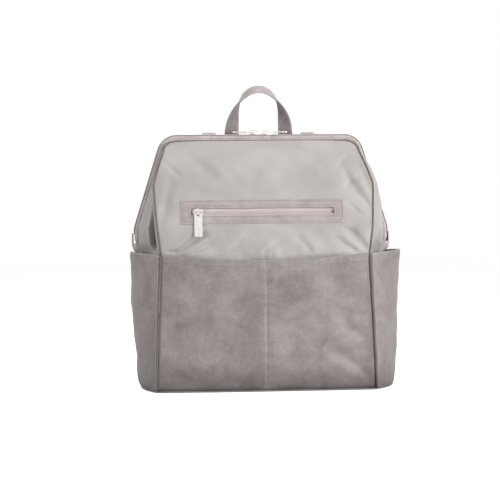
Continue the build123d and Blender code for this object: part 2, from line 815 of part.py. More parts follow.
def inner_pocket_elastic():
    """A strip in front of the inner pocket's top edge."""
    with BuildPart() as elastic:
        with BuildSketch(Plane.XZ.offset(-70.6)):
            with Locations((0, 168)):
                Rectangle(218, 8)
        extrude(amount=-1.2)
    return elastic.part


# ---------------------------------------------------------------- build and save
os.makedirs("parts", exist_ok=True)

SINGLE_PIECES = (
    base_panel, base_board, back_panel, back_foam, trolley_sleeve,
    front_upper_panel, pocket_zip_patch, pocket_zip_tapes, pocket_zip_teeth, front_pocket_bag,
    frame_pivot_rivets, zip_end_tabs, pocket_pull_link, pocket_puller,
    top_handle, handle_ends, strap_top_anchors, strap_lower_tabs,
    lining, inner_rear_pocket, inner_pocket_elastic,
)
for piece in SINGLE_PIECES:
    save(piece.__name__, piece())

save("front_frame_channel", frame_channel(FRONT_CHANNEL_Y))
save("rear_frame_channel", frame_channel(REAR_CHANNEL_Y))
save("front_zip_tape",
     zip_band(TAPE_HALF_T, FRONT_CHANNEL_Y[0] + TAPE_INSET, HINGE_Y - TAPE_GAP))
save("rear_zip_tape",
     zip_band(TAPE_HALF_T, HINGE_Y + TAPE_GAP, REAR_CHANNEL_Y[1] - TAPE_INSET))
save("front_zip_teeth", zip_band(TEETH_HALF_T, HINGE_Y - TEETH_FAR, HINGE_Y - TEETH_NEAR))
save("rear_zip_teeth", zip_band(TEETH_HALF_T, HINGE_Y + TEETH_NEAR, HINGE_Y + TEETH_FAR))
save("front_frame_wire", frame_wire(FRONT_CHANNEL_Y, eye_x0=175.6, eye_x1=177.4))
save("rear_frame_wire", frame_wire(REAR_CHANNEL_Y, eye_x0=173.6, eye_x1=175.3))
save("pocket_slider", slider(POCKET_SLIDER_PLANE, lips=[-1, 1]))

for sign, side in SIDES:
    save("front_lower_" + side + "_panel", front_lower_panel(sign))
    save(side + "_side_panel", side_panel(sign))
    save(side + "_side_pocket", side_pocket(sign, side))
    save(side + "_pocket_lining", pocket_lining(sign, side))
    save(side + "_lower_piping", lower_piping(sign))
    save(side + "_upper_piping", upper_piping(sign))
    save(side + "_front_gusset", gusset(sign, front_gusset_run, -GUSSET_T))
    save(side + "_rear_gusset", gusset(sign, rear_gusset_run, GUSSET_T))
    # the plane's y points to the rear on the right and to the front on the left,
    # so this puts the lips on the rear edge of both
    save(side + "_slider", slider(mouth_slider_plane(sign), lips=[sign]))
    save(side + "_puller", flat_pull(mouth_slider_plane(sign)))
    save(side + "_strap_pad", strap_pad(sign))
    save(side + "_strap_loop", strap_loop(sign))
    save(side + "_adjuster", adjuster(sign))
    save(side + "_strap_webbing", strap_webbing(sign))
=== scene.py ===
# A backpack with a wide frame mouth, standing on the floor.
# x runs from the bag's "left" pieces (-x) to its "right" ones (+x), -y is the front, +y the
# padded back, and z = 0 the underside of the base.
# All lengths are millimetres until a mesh is made, unless multiplied by MM.
import math

import bmesh
import bpy
import numpy as np
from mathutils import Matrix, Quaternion, Vector

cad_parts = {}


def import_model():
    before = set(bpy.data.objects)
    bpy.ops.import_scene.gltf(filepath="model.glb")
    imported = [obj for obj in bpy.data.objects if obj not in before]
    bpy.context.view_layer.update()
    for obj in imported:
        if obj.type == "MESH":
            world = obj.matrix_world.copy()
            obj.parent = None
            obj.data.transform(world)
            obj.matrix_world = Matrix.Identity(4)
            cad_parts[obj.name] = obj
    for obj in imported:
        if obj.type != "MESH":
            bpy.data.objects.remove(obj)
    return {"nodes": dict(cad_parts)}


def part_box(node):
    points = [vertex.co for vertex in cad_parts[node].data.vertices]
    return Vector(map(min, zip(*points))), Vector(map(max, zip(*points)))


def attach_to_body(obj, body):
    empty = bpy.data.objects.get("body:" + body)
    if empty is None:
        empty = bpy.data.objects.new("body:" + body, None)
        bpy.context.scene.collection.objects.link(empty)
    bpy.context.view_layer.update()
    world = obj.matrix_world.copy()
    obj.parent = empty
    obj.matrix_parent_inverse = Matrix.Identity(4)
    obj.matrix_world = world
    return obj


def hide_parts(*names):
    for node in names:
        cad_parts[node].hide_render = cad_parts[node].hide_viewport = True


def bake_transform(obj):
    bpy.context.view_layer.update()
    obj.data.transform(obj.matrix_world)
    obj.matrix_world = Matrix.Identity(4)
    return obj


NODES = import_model()["nodes"]
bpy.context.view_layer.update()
MM = 0.001

SIDES = ((-1, "left"), (1, "right"))
FRONT, BACK = (0, -1, 0), (0, 1, 0)

# The mouth frame: hinged low at each side, its legs lean in to a straight top bar.
HINGE_Y, HINGE_Z = 12.0, 212.0
ZIP_Z = 357.0                         # top of the closed zip
LEG_X, CORNER_X = 181.0, 140.0        # where the legs start and where they would meet the top
LEG_TOP_Z = HINGE_Z + 14              # the legs are upright to here
FRAME_RADIUS = 28.0
ARC_Z = ZIP_Z - FRAME_RADIUS
LEG_LEAN = math.atan2(LEG_X - CORNER_X, ZIP_Z - LEG_TOP_Z)
ARC_X = CORNER_X - FRAME_RADIUS * math.tan(0.5 * (math.pi / 2 - LEG_LEAN))

LOW_TOP_Z = 184.0                     # nominal top of the lower front
BASE_GAP = 2.6                        # the walls start this far above the floor
POCKET_RIM_Z = 187.0

# Two bodies and blend heights for cloth between them; attach only bakes such pieces in place: (from
# body, to body, blend start, blend end)
MOUTH_BLEND = ("bag_body", "mouth_front", (0, -62.0 * MM, 0), (0, -8.0 * MM, 0))

threads = []          # (path, outward) of seams on the bag's fixed fabric
mouth_threads = []    # the same on the nylon that follows the mouth


# ---- curves and height fields ----
def ramp(x, start, end):
    """Smooth step from 0 at start to 1 at end."""
    t = np.clip((x - start) / (end - start), 0.0, 1.0)
    return t * t * (3 - 2 * t)


def bell(x, centre, width):
    return np.exp(-((x - centre) / width) ** 2)


def waves(p, q, size, seed):
    """Smooth seeded unevenness of about -1..1; size is the typical wavelength."""
    count = 10
    rng = np.random.RandomState(seed)
    height = 0.0
    for _ in range(count):
        angle = rng.uniform(0, 2 * math.pi)
        k = 2 * math.pi / (size * rng.uniform(0.7, 1.6))
        phase = rng.uniform(0, 2 * math.pi)
        wave = np.sin(k * (p * math.cos(angle) + q * math.sin(angle)) + phase)
        height = height + wave * rng.uniform(0.5, 1.0)
    return height / (0.75 * math.sqrt(count) * 1.3)


def crease(p, q, p0, q0, p1, q1, width, depth):
    """A fold from (p0, q0) to (p1, q1): a valley with soft ridges, fading at both ends."""
    ridge = 0.6
    length = math.hypot(p1 - p0, q1 - q0)
    dp, dq = (p1 - p0) / length, (q1 - q0) / length
    along = (p - p0) * dp + (q - q0) * dq
    aside = -(p - p0) * dq + (q - q0) * dp
    fade = ramp(along, -0.15 * length, 0.3 * length)
    fade = fade * (1 - ramp(along, 0.65 * length, 1.2 * length))
    k = (aside / (width * (0.7 + 0.6 * np.clip(along / length, 0, 1)))) ** 2
    return -depth * fade * (1 - ridge * k) * np.exp(-k)


def creases(p, q, table):
    return sum(crease(p, q, *row) for row in table)


def unit(v):
    v = np.asarray(v, float)
    n = np.linalg.norm(v, axis=-1, keepdims=True)
    return v / np.where(n < 1e-12, 1, n)


def xyz(x, y, z):
    """Points from coordinates of any shapes that broadcast together."""
    return np.stack(np.broadcast_arrays(x, y, z), -1)


def grid(rows, cols):
    return np.meshgrid(rows, cols, indexing="ij")


def closed(points):
    return np.vstack([points, points[:1]])


def travelled(path):
    """Distance along a path at each of its points."""
    return np.r_[0, np.cumsum(np.linalg.norm(np.diff(path, axis=0), axis=1))]


def resample(path, n):
    distance = travelled(path)
    t = np.linspace(0, distance[-1], n)
    return np.stack([np.interp(t, distance, path[:, k]) for k in range(path.shape[1])], 1)


def spline(points, n):
    """Catmull-Rom through points, as n samples evenly spaced by length."""
    p = np.array(points, float)
    p = np.vstack([2 * p[0] - p[1], p, 2 * p[-1] - p[-2]])
    out = []
    for i in range(1, len(p) - 2):
        before, start, end, after = p[i - 1:i + 3]
        for t in np.linspace(0, 1, 24, endpoint=False):
            out.append(0.5 * (2 * start + (end - before) * t
                              + (2 * before - 5 * start + 4 * end - after) * t ** 2
                              + (3 * start - before - 3 * end + after) * t ** 3))
    out.append(p[-2])
    return resample(np.array(out), n)


def round_rect(width, height, radius, n=4):
    points = []
    for sx, sy, start in ((1, 1, 0), (-1, 1, 90), (-1, -1, 180), (1, -1, 270)):
        for k in range(n + 1):
            a = math.radians(start + 90 * k / n)
            points.append((sx * (width / 2 - radius) + radius * math.cos(a),
                           sy * (height / 2 - radius) + radius * math.sin(a)))
    return np.array(points)


def shrunk(outline, inset, least):
    """An outline drawn in towards its middle by inset, keeping at least this share."""
    centre = outline.mean(0)
    arm = outline - centre
    length = np.linalg.norm(arm, axis=1, keepdims=True)
    return centre + arm * np.clip(1 - inset / length, least, 1)


# ---- shapes: (vertices, faces, material slot of each face or None) ----
def skin(rings, ends="fan"):
    """Skins equal rings of points; the ends are a "fan", one "flat" face or "open"."""
    rings = np.array(rings, float)
    n, m = rings.shape[:2]
    verts = list(rings.reshape(-1, 3))
    faces = [(k * m + j, k * m + (j + 1) % m, (k + 1) * m + (j + 1) % m, (k + 1) * m + j)
             for k in range(n - 1) for j in range(m)]
    if ends == "fan":
        for k in (0, n - 1):
            verts.append(rings[k].mean(0))
            faces += [(k * m + j, k * m + (j + 1) % m, len(verts) - 1) for j in range(m)]
    elif ends == "flat":
        faces += [tuple(range(m)), tuple(range(n * m - 1, (n - 1) * m - 1, -1))]
    return verts, faces, None


def join(shapes):
    verts, faces = [], []
    for shape_verts, shape_faces, _ in shapes:
        base = len(verts)
        faces += [tuple(i + base for i in face) for face in shape_faces]
        verts += list(shape_verts)
    return verts, faces, None


def sheet(outer, thickness, outward, keep=None, inner_slot=0):
    """A fabric layer from a grid of its outer surface; keep masks its cells.

    outward is a rough direction. Open edges are rounded off."""
    outer = np.asarray(outer, float)
    rows, cols = outer.shape[:2]
    normals = unit(np.cross(np.gradient(outer, axis=0), np.gradient(outer, axis=1)))
    if (normals * np.asarray(outward, float)).sum() < 0:
        normals = -normals
    inner = (outer - normals * thickness).reshape(-1, 3)
    outer, normals = outer.reshape(-1, 3), normals.reshape(-1, 3)
    back = rows * cols
    faces, slots, edge_cells = [], [], {}
    for i in range(rows - 1):
        for j in range(cols - 1):
            if keep is not None and not keep[i, j]:
                continue
            a = i * cols + j
            b, c, d = a + cols, a + cols + 1, a + 1
            faces += [(a, b, c, d), (a + back, d + back, c + back, b + back)]
            slots += [0, inner_slot]
            middle = (outer[a] + outer[b] + outer[c] + outer[d]) / 4
            for edge in ((a, b), (b, c), (c, d), (d, a)):
                edge_cells.setdefault(tuple(sorted(edge)), []).append((edge, middle))
    # edges with one cell are open; their points are pushed out away from that cell
    open_edges = [cells[0] for cells in edge_cells.values() if len(cells) == 1]
    push = {}
    for (a, b), middle in open_edges:
        along, normal = unit(outer[b] - outer[a]), normals[a]
        away = (outer[a] + outer[b]) / 2 - middle
        away = unit(away - along * (away @ along) - normal * (away @ normal))
        for v in (a, b):
            push[v] = push.get(v, 0) + away
    rim = {v: 2 * back + k for k, v in enumerate(push)}
    rim_points = [(outer[v] + inner[v]) / 2 + unit(away) * thickness * 0.42
                  for v, away in push.items()]
    for (a, b), _ in open_edges:
        faces += [(a, rim[a], rim[b], b), (rim[a], a + back, b + back, rim[b])]
        slots += [0, 0]
    used, faces = np.unique(np.array(faces), return_inverse=True)
    return np.vstack([outer, inner, rim_points])[used], faces.reshape(-1, 4), slots


def sweep(path, across, through, section):
    """A section on two axes along a path: an (m, 2) loop or a function of
    (fraction, index) giving one."""
    rings = []
    for k in range(len(path)):
        loop = section(k / (len(path) - 1), k) if callable(section) else section
        rings.append(path[k] + loop[:, :1] * across[k] + loop[:, 1:] * through[k])
    return skin(rings)


def axes_along(path, up):
    """Axes across a path: up with the path's direction taken out, and one square to both."""
    tangent = unit(np.gradient(path, axis=0))
    up = np.broadcast_to(np.asarray(up, float), path.shape)
    first = unit(up - tangent * (tangent * up).sum(1, keepdims=True))
    return first, np.cross(tangent, first)


def tube(path, radius, seed, seg=12, up=(0, 1, 0), wobble=0.05):
    """A cord with rounded ends and a slightly uneven thickness."""
    angle = np.linspace(0, 2 * math.pi, seg, endpoint=False)
    circle = np.stack([np.cos(angle), np.sin(angle)], 1)
    distance = travelled(path)

    def section(f, k):
        end = min(1.0, math.sqrt(max(1e-3, min(f, 1 - f) * (len(path) - 1) / 1.2 + 0.15)))
        uneven = 1 + wobble * float(waves(distance[k], 0.0, 9.0, seed))
        return circle * radius * end * uneven
    return sweep(path, *axes_along(path, up), section)


def ribbon_section(width, thickness, n=9, crown=0.0):
    """Flat strap section with rounded edges; columns are across and through."""
    across = np.linspace(-width / 2, width / 2, n)
    half = thickness / 2 * np.clip(1 - (np.abs(across) / (width / 2)) ** 14, 0, 1) ** 0.5
    half = np.maximum(half, thickness * 0.10)
    bow = crown * (1 - (across / (width / 2)) ** 2)
    return np.vstack([np.stack([across, bow + half], 1), np.stack([across, bow - half], 1)[::-1]])


def ribbon(path, width, thickness):
    """A strap lying flat along x."""
    path = np.asarray(path, float)
    return sweep(path, *axes_along(path, (1, 0, 0)), ribbon_section(width, thickness))


def stitches(lines, pitch=3.4, length=2.5, radius=0.34):
    """Short rounded stitches along a list of (path, outward normals)."""
    lift, sink, flatten = 0.12, 0.1, 1.15
    stations = ((0.0, 0.55), (0.25, 1.0), (0.75, 1.0), (1.0, 0.55))    # place, thickness
    turn = (2 * math.pi * np.arange(6) / 6)[:, None]
    shapes = []
    for path, normals in lines:
        path = np.asarray(path, float)
        normals = np.broadcast_to(np.asarray(normals, float), path.shape)
        distance = travelled(path)
        total = float(np.linalg.norm(np.diff(path, axis=0), axis=1).sum())
        count = max(1, int(total / pitch))

        def at(s, values):
            return np.array([np.interp(s, distance, values[:, k]) for k in range(3)])
        for begin in (np.arange(count) + 0.5) * total / count - length / 2:
            start = at(max(begin, 0), path)
            reach = at(min(begin + length, total), path) - start
            along = unit(reach)
            normal = unit(at(begin + length / 2, normals))
            normal = unit(normal - along * (normal @ along))
            aside = np.cross(along, normal)
            rings = []
            for f, k in stations:
                rise = lift * (1 - (2 * f - 1) ** 4) - sink
                rim = aside * np.cos(turn) * flatten + normal * np.sin(turn)
                rings.append(start + reach * f + normal * rise + rim * radius * k)
            shapes.append(skin(rings, "flat"))
    return join(shapes)


def teeth(centres, along, across, outward, inner, outer, length=1.5, height=2.1):
    """Coil teeth, each reaching from outer to inner along across, thicker at its head."""
    outline = round_rect(1, 1, 0.28, 1)
    # share of the way in, share of length, share of height
    stations = ((0, 0.72, 0.72), (0.45, 0.74, 0.78), (0.68, 1.0, 1.0), (0.93, 1.0, 0.98),
                (1, 0.7, 0.7))
    axes = [np.broadcast_to(axis, centres.shape) for axis in (along, across, outward)]
    shapes = []
    for centre, run, side, up in zip(centres, *axes):
        shapes.append(skin([
            centre + side * (outer + (inner - outer) * f)
            + outline[:, :1] * run * length * share_l + outline[:, 1:] * up * height * share_h
            for f, share_l, share_h in stations], "flat"))
    return join(shapes)


# ---- objects ----
def make(name, shape, materials, smooth=True):
    verts, faces, slots = shape
    me = bpy.data.meshes.new(name)
    me.from_pydata([tuple(v) for v in np.asarray(verts, float) * MM], [],
                   [tuple(int(i) for i in f) for f in faces])
    for material in materials:
        me.materials.append(material)
    if slots is not None:
        me.polygons.foreach_set("material_index", np.asarray(slots, np.int32))
    me.update()
    bm = bmesh.new()
    bm.from_mesh(me)
    bmesh.ops.recalc_face_normals(bm, faces=bm.faces)
    bm.to_mesh(me)
    bm.free()
    me.polygons.foreach_set("use_smooth", np.full(len(me.polygons), smooth))
    me.update()
    ob = bpy.data.objects.new(name, me)
    bpy.context.scene.collection.objects.link(ob)
    return ob


def attach(ob, slot, *nodes, body="bag_body"):
    if isinstance(body, tuple):
        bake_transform(ob)
    else:
        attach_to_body(ob, body)
    if nodes:
        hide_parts(*nodes)


def add(name, shape, materials, slot, *nodes, body="bag_body", smooth=True):
    ob = make(name, shape, materials, smooth)
    attach(ob, slot, *nodes, body=body)
    return ob


def bake(ob):
    """Replaces the mesh by its evaluated self and drops the modifiers."""
    graph = bpy.context.evaluated_depsgraph_get()
    graph.update()
    me = bpy.data.meshes.new_from_object(ob.evaluated_get(graph),
                                         preserve_all_data_layers=True, depsgraph=graph)
    old = ob.data
    ob.modifiers.clear()
    ob.data = me
    bpy.data.meshes.remove(old)
    me.polygons.foreach_set("use_smooth", np.full(len(me.polygons), True))


def subdivide(ob):
    modifier = ob.modifiers.new("sub", "SUBSURF")
    modifier.levels = modifier.render_levels = 1
    bake(ob)


def get_points(ob):
    points = np.empty(len(ob.data.vertices) * 3)
    ob.data.vertices.foreach_get("co", points)
    return points.reshape(-1, 3) / MM


def set_points(ob, points):
    ob.data.vertices.foreach_set("co", np.ascontiguousarray(points * MM, float).ravel())
    ob.data.update()


def inflate(ob, voxel, pressure, most, frames, limit):
    """Swells a remeshed body as cloth under pressure; no point moves further than most."""
    scene = bpy.context.scene
    remesh = ob.modifiers.new("remesh", "REMESH")
    remesh.mode = "VOXEL"
    remesh.voxel_size = voxel * MM
    remesh.use_smooth_shade = True
    bake(ob)
    rest = get_points(ob)
    cloth = ob.modifiers.new("cloth", "CLOTH")
    settings = cloth.settings
    settings.quality = 6
    settings.mass = 0.3
    settings.tension_stiffness = settings.compression_stiffness = 12
    settings.shear_stiffness = 6
    settings.bending_stiffness = 0.4
    settings.use_pressure = True
    settings.uniform_pressure_force = pressure
    settings.effector_weights.gravity = 0
    cloth.point_cache.frame_start = 1
    cloth.point_cache.frame_end = frames
    for frame in range(1, frames + 1):
        scene.frame_set(frame)
    bake(ob)
    move = get_points(ob) - rest
    size = np.linalg.norm(move, axis=1, keepdims=True)
    set_points(ob, limit(rest + move * np.minimum(1.0, most / np.maximum(size, 1e-6))))
    scene.frame_set(1)


# ---- materials ----
def linear(colour):
    """Linear RGBA from 0-255 sRGB."""
    return tuple(c / 255 / 12.92 if c / 255 <= 0.04045 else ((c / 255 + 0.055) / 1.055) ** 2.4
                 for c in colour) + (1.0,)


def tint(colour, factor):
    return tuple(min(1, c * factor) for c in colour[:3]) + (1,)


class Shader:
    """A small builder for node materials round one Principled BSDF."""

    def __init__(self, name):
        self.material = bpy.data.materials.new(name)
        self.material.use_nodes = True
        self.tree = self.material.node_tree
        self.tree.nodes.clear()
        output = self.node("ShaderNodeOutputMaterial")
        self.bsdf = self.node("ShaderNodeBsdfPrincipled")
        self.feed(output.inputs[0], self.bsdf.outputs[0])
        self.place = self.node("ShaderNodeTexCoord").outputs["Object"]

    def node(self, kind, inputs=None, **settings):
        """A node with inputs given by name or number, as values or as sockets."""
        node = self.tree.nodes.new(kind)
        for key, value in settings.items():
            setattr(node, key, value)
        for key, value in (inputs or {}).items():
            self.feed(node.inputs[key], value)
        return node

    def feed(self, socket, value):
        if isinstance(value, (int, float, tuple)):
            socket.default_value = value
        else:
            self.tree.links.new(value, socket)

    def set(self, **values):
        """Principled inputs, with _ for the spaces in their names."""
        for key, value in values.items():
            self.feed(self.bsdf.inputs[key.replace("_", " ")], value)

    def noise(self, scale, detail=3.0, rough=0.5, distortion=0.0, place=None):
        return self.node("ShaderNodeTexNoise", {
            "Scale": scale, "Detail": detail, "Roughness": rough, "Distortion": distortion,
            "Vector": place or self.place}).outputs[0]

    def wave(self, scale, direction, distortion=0.0):
        return self.node("ShaderNodeTexWave", {
            "Scale": scale, "Distortion": distortion, "Detail": 1.0, "Vector": self.place},
            wave_type="BANDS", bands_direction=direction).outputs["Fac"]

    def calc(self, operation, a, b):
        return self.node("ShaderNodeMath", {0: a, 1: b}, operation=operation).outputs[0]

    def weighted(self, a, weight_a, b, weight_b):
        return self.calc("ADD", self.calc("MULTIPLY", a, weight_a),
                         self.calc("MULTIPLY", b, weight_b))

    def remap(self, value, span, to=(0.0, 1.0)):
        """Maps the range span onto the range to."""
        return self.node("ShaderNodeMapRange", {
            0: value, 1: span[0], 2: span[1], 3: to[0], 4: to[1]}).outputs[0]

    def mix(self, factor, a, b, blend="MIX"):
        return self.node("ShaderNodeMix", {0: factor, 6: a, 7: b}, data_type="RGBA",
                         blend_type=blend).outputs[2]

    def shade(self, colour, value):
        """Multiplies a colour by a grey value."""
        grey = self.node("ShaderNodeCombineColor", {0: value, 1: value, 2: value})
        return self.mix(1.0, colour, grey.outputs[0], "MULTIPLY")

    def bump(self, height, strength, distance, under=None):
        inputs = {"Strength": strength, "Distance": distance * MM, "Height": height}
        if under is not None:
            inputs["Normal"] = under
        return self.node("ShaderNodeBump", inputs).outputs[0]


def leatherette(name, dark, light, rough, blotch=24.0, foot=None):
    """Mottled grained leatherette; blotch scales the mottling, foot paints shade that darkens the
    bottom.
    """
    m = Shader(name)
    dark, light = linear(dark), linear(light)
    big = m.noise(blotch, rough=0.55, distortion=0.6)
    small = m.noise(blotch * 5.5, detail=4.0, rough=0.6)
    colour = m.mix(m.remap(m.weighted(big, 0.72, small, 0.28), span=(0.36, 0.64)), dark, light)
    speck = m.noise(620, detail=2.0)
    colour = m.shade(colour, m.remap(speck, span=(0.32, 0.68), to=(0.86, 1.10)))
    # painted shade: the colour darkens towards the bottom, by height, down to foot at the floor
    if foot:
        height = m.node("ShaderNodeSeparateXYZ", {0: m.place}).outputs[2]
        uneven = m.calc("MULTIPLY", m.calc("SUBTRACT", big, 0.5), 0.010)
        colour = m.shade(colour, m.remap(m.calc("ADD", height, uneven), span=(0.002, 0.040),
                                         to=(foot, 1.0)))
    # convex edges are worn lighter
    pointed = m.node("ShaderNodeNewGeometry").outputs["Pointiness"]
    worn = m.calc("MULTIPLY", m.remap(pointed, span=(0.515, 0.57)), 0.30)
    colour = m.mix(worn, colour, tint(light, 1.35))
    smudge = m.calc("ADD", big, m.calc("MULTIPLY", m.noise(300), 0.5))
    cells = m.node("ShaderNodeTexVoronoi", {"Scale": 760.0, "Vector": m.place},
                   feature="DISTANCE_TO_EDGE").outputs[0]
    grain = m.bump(m.remap(cells, span=(0.0, 0.16)), strength=0.30, distance=0.12)
    fine = m.bump(m.noise(2600, detail=2.0), strength=0.12, distance=0.05, under=grain)
    m.set(Base_Color=colour,
          Roughness=m.remap(smudge, span=(0.45, 1.05), to=(rough - 0.07, rough + 0.10)),
          Specular_IOR_Level=0.5, Sheen_Weight=0.12, Sheen_Roughness=0.4,
          Normal=m.bump(m.noise(60), strength=0.20, distance=0.9, under=fine))
    return m.material


def band_scale(pitch):
    """Wave texture scale that gives bands this far apart."""
    return 2 * math.pi / (20 * pitch * MM)


def woven(name, dark, light, pitch=0.62, rough=0.5, sheen=0.35, bump=0.25):
    """Plain-weave cloth with soft tonal drift and satin sheen."""
    m = Shader(name)
    dark, light = linear(dark), linear(light)
    along_x, along_y, along_z = (m.wave(band_scale(pitch), axis) for axis in "XYZ")
    weave = m.calc("MULTIPLY", m.calc("ADD", along_x, along_y), along_z)
    drift = m.noise(16.0, distortion=0.4)
    tone = m.weighted(drift, 0.75, m.noise(700, detail=2.0), 0.25)
    colour = m.mix(m.remap(tone, span=(0.38, 0.62)), dark, light)
    gaps = m.remap(weave, span=(0.0, 1.4), to=(0.10, 0.0))
    threads_bump = m.bump(weave, strength=bump, distance=0.08)
    m.set(Base_Color=m.mix(gaps, colour, tint(dark, 0.72)),
          Roughness=m.remap(drift, span=(0.3, 0.7), to=(rough - 0.05, rough + 0.07)),
          Sheen_Weight=sheen, Sheen_Roughness=0.45,
          Normal=m.bump(m.noise(90), strength=0.12, distance=0.5, under=threads_bump))
    return m.material


def ribbed(name, dark, light, pitch=1.5, direction="Z"):
    m = Shader(name)
    scale = band_scale(pitch)
    rib = m.wave(scale, direction, distortion=0.6)
    cross = m.wave(scale * 2.2, "X")
    tone = m.weighted(rib, 0.6, m.noise(240), 0.5)
    ribs = m.bump(rib, strength=0.5, distance=0.25)
    m.set(Base_Color=m.mix(m.remap(tone, span=(0.2, 0.9)), linear(dark), linear(light)),
          Roughness=0.62, Sheen_Weight=0.3,
          Normal=m.bump(cross, strength=0.3, distance=0.08, under=ribs))
    return m.material


def metal(name, colour, rough):
    m = Shader(name)
    colour = linear(colour)
    stretched = m.node("ShaderNodeMapping", {"Scale": (1, 18, 18), 0: m.place}).outputs[0]
    scratches = m.noise(120, detail=5.0, rough=0.6, place=stretched)
    blotches = m.noise(260)
    wear = m.weighted(scratches, 0.6, blotches, 0.4)
    m.set(Base_Color=m.mix(m.remap(blotches, span=(0.35, 0.65)), tint(colour, 0.90), colour),
          Metallic=1.0,
          Roughness=m.remap(wear, span=(0.35, 0.65), to=(rough - 0.07, rough + 0.12)),
          Normal=m.bump(scratches, strength=0.06, distance=0.05))
    return m.material


def plastic(name, colour, rough):
    m = Shader(name)
    colour = linear(colour)
    mottle = m.noise(420, detail=4.0, rough=0.6)
    m.set(Base_Color=m.mix(m.remap(mottle, span=(0.3, 0.7)), tint(colour, 0.88),
                           tint(colour, 1.1)),
          Roughness=m.remap(mottle, span=(0.3, 0.7), to=(rough - 0.06, rough + 0.08)),
          Normal=m.bump(m.noise(1500, detail=2.0), strength=0.15, distance=0.05))
    return m.material


NYLON = woven("nylon", dark=(171, 166, 163), light=(188, 184, 181))
NYLON_IN = woven("nylon_lining", dark=(58, 56, 58), light=(72, 70, 72), pitch=0.7, rough=0.6,
                 sheen=0.2, bump=0.3)
# foot=0.56 paints shade that darkens the bottom of this leatherette
LEATHER = leatherette("leatherette", dark=(133, 124, 122), light=(158, 150, 148), rough=0.40,
                      foot=0.56)
LEATHER_BAND = leatherette("leatherette_band", dark=(172, 162, 161), light=(200, 190, 189),
                           rough=0.46, blotch=40.0)
# darker copy of the handle leatherette: painted shade for the handle's inner face
HANDLE_SHADED = leatherette("leatherette_handle_painted_shade", dark=(124, 116, 116),
                        light=(148, 140, 140), rough=0.46, blotch=40.0)
LEATHER_HANDLE = leatherette("leatherette_handle", dark=(165, 154, 153), light=(190, 180, 180),
                             rough=0.42, blotch=40.0)
LEATHER_PATCH = leatherette("leatherette_patch", dark=(158, 148, 147), light=(185, 176, 175),
                            rough=0.45, blotch=34.0)
PIPING = leatherette("piping", dark=(88, 80, 78), light=(116, 107, 105), rough=0.42,
                     blotch=60.0)
LINING = woven("lining", dark=(46, 44, 46), light=(62, 60, 62), pitch=0.7, rough=0.62,
               sheen=0.2, bump=0.3)
ELASTIC = ribbed("elastic", dark=(40, 38, 40), light=(60, 58, 60), pitch=1.1, direction="X")
TAPE = woven("zip_tape", dark=(222, 211, 210), light=(240, 230, 229), pitch=1.0, rough=0.6,
             sheen=0.25, bump=0.5)
TEETH = plastic("zip_teeth", colour=(242, 233, 232), rough=0.4)
WEBBING = ribbed("webbing", dark=(122, 115, 113), light=(156, 149, 147))
THREAD = woven("thread", dark=(138, 131, 129), light=(166, 159, 157), pitch=0.35, rough=0.55,
               sheen=0.3, bump=0.5)
THREAD_NYLON = woven("thread_light", dark=(170, 165, 163), light=(190, 186, 184), pitch=0.35,
                     rough=0.55, sheen=0.3, bump=0.5)
METAL = metal("plated_metal", colour=(244, 238, 235), rough=0.24)
WIRE = metal("frame_wire", colour=(150, 150, 152), rough=0.34)
PLASTIC = plastic("buckle_plastic", colour=(70, 67, 66), rough=0.42)
BOARD = plastic("board", colour=(60, 60, 62), rough=0.7)
FOAM = woven("foam", dark=(92, 92, 94), light=(118, 118, 120), pitch=2.2, rough=0.9, sheen=0.1,
             bump=0.6)
NYLON_LINED = (NYLON, NYLON_IN)


def dress_cad_parts():
    """Materials and softened edges for the CAD parts kept as they are."""
    parts = {
        METAL: ("left_slider", "right_slider", "left_puller", "right_puller", "pocket_slider",
                "pocket_pull_link", "pocket_puller", "frame_pivot_rivets"),
        WIRE: ("front_frame_wire", "rear_frame_wire"),
        BOARD: ("base_board",),
        PLASTIC: ("left_adjuster", "right_adjuster")}
    for material, names in parts.items():
        for name in names:
            ob = NODES[name]
            if not ob.material_slots:
                ob.data.materials.append(material)
            for slot in ob.material_slots:
                slot.material = material
            if material in (WIRE, BOARD):
                continue
            bevel = ob.modifiers.new("edge", "BEVEL")
            bevel.width = (0.35 if name == "pocket_puller" else 0.25) * MM
            bevel.segments = 2
            bevel.limit_method = "ANGLE"
            bevel.angle_limit = math.radians(35)


# ---- the bag's main curves ----
def seam_z(x):
    """The sagging seam between the lower and the upper front."""
    return 187.5 - 8.0 * (1 - (x / 141.0) ** 2)


def lower_half(z):
    """Half width of the lower front."""
    return 150.2 + (141.6 - 150.2) * np.clip(z / LOW_TOP_Z, -0.2, 1.1)


def upper_outline():
    """Side edge of the upper front as (half width, z), ending round the frame's corner."""
    radius = 19.2
    side = spline([
        (141.4, 166.0), (141.4, 176.0), (142.0, 186.0), (144.0, 200.0), (146.8, 222.0),
        (149.0, 245.0), (150.6, 268.0), (151.6, 284.0), (149.0, 296.0), (144.6, 311.0),
        (140.8, 323.0), (137.4, 333.6)], 200)
    angle = np.radians(np.linspace(14.0, 84.0, 40))[2:]
    arc = np.stack([ARC_X + radius * np.cos(angle), ARC_Z + radius * np.sin(angle)], 1)
    return np.vstack([side, arc])


UPPER_OUTLINE = upper_outline()


def upper_half(z):
    return np.interp(z, UPPER_OUTLINE[:, 1], UPPER_OUTLINE[:, 0])


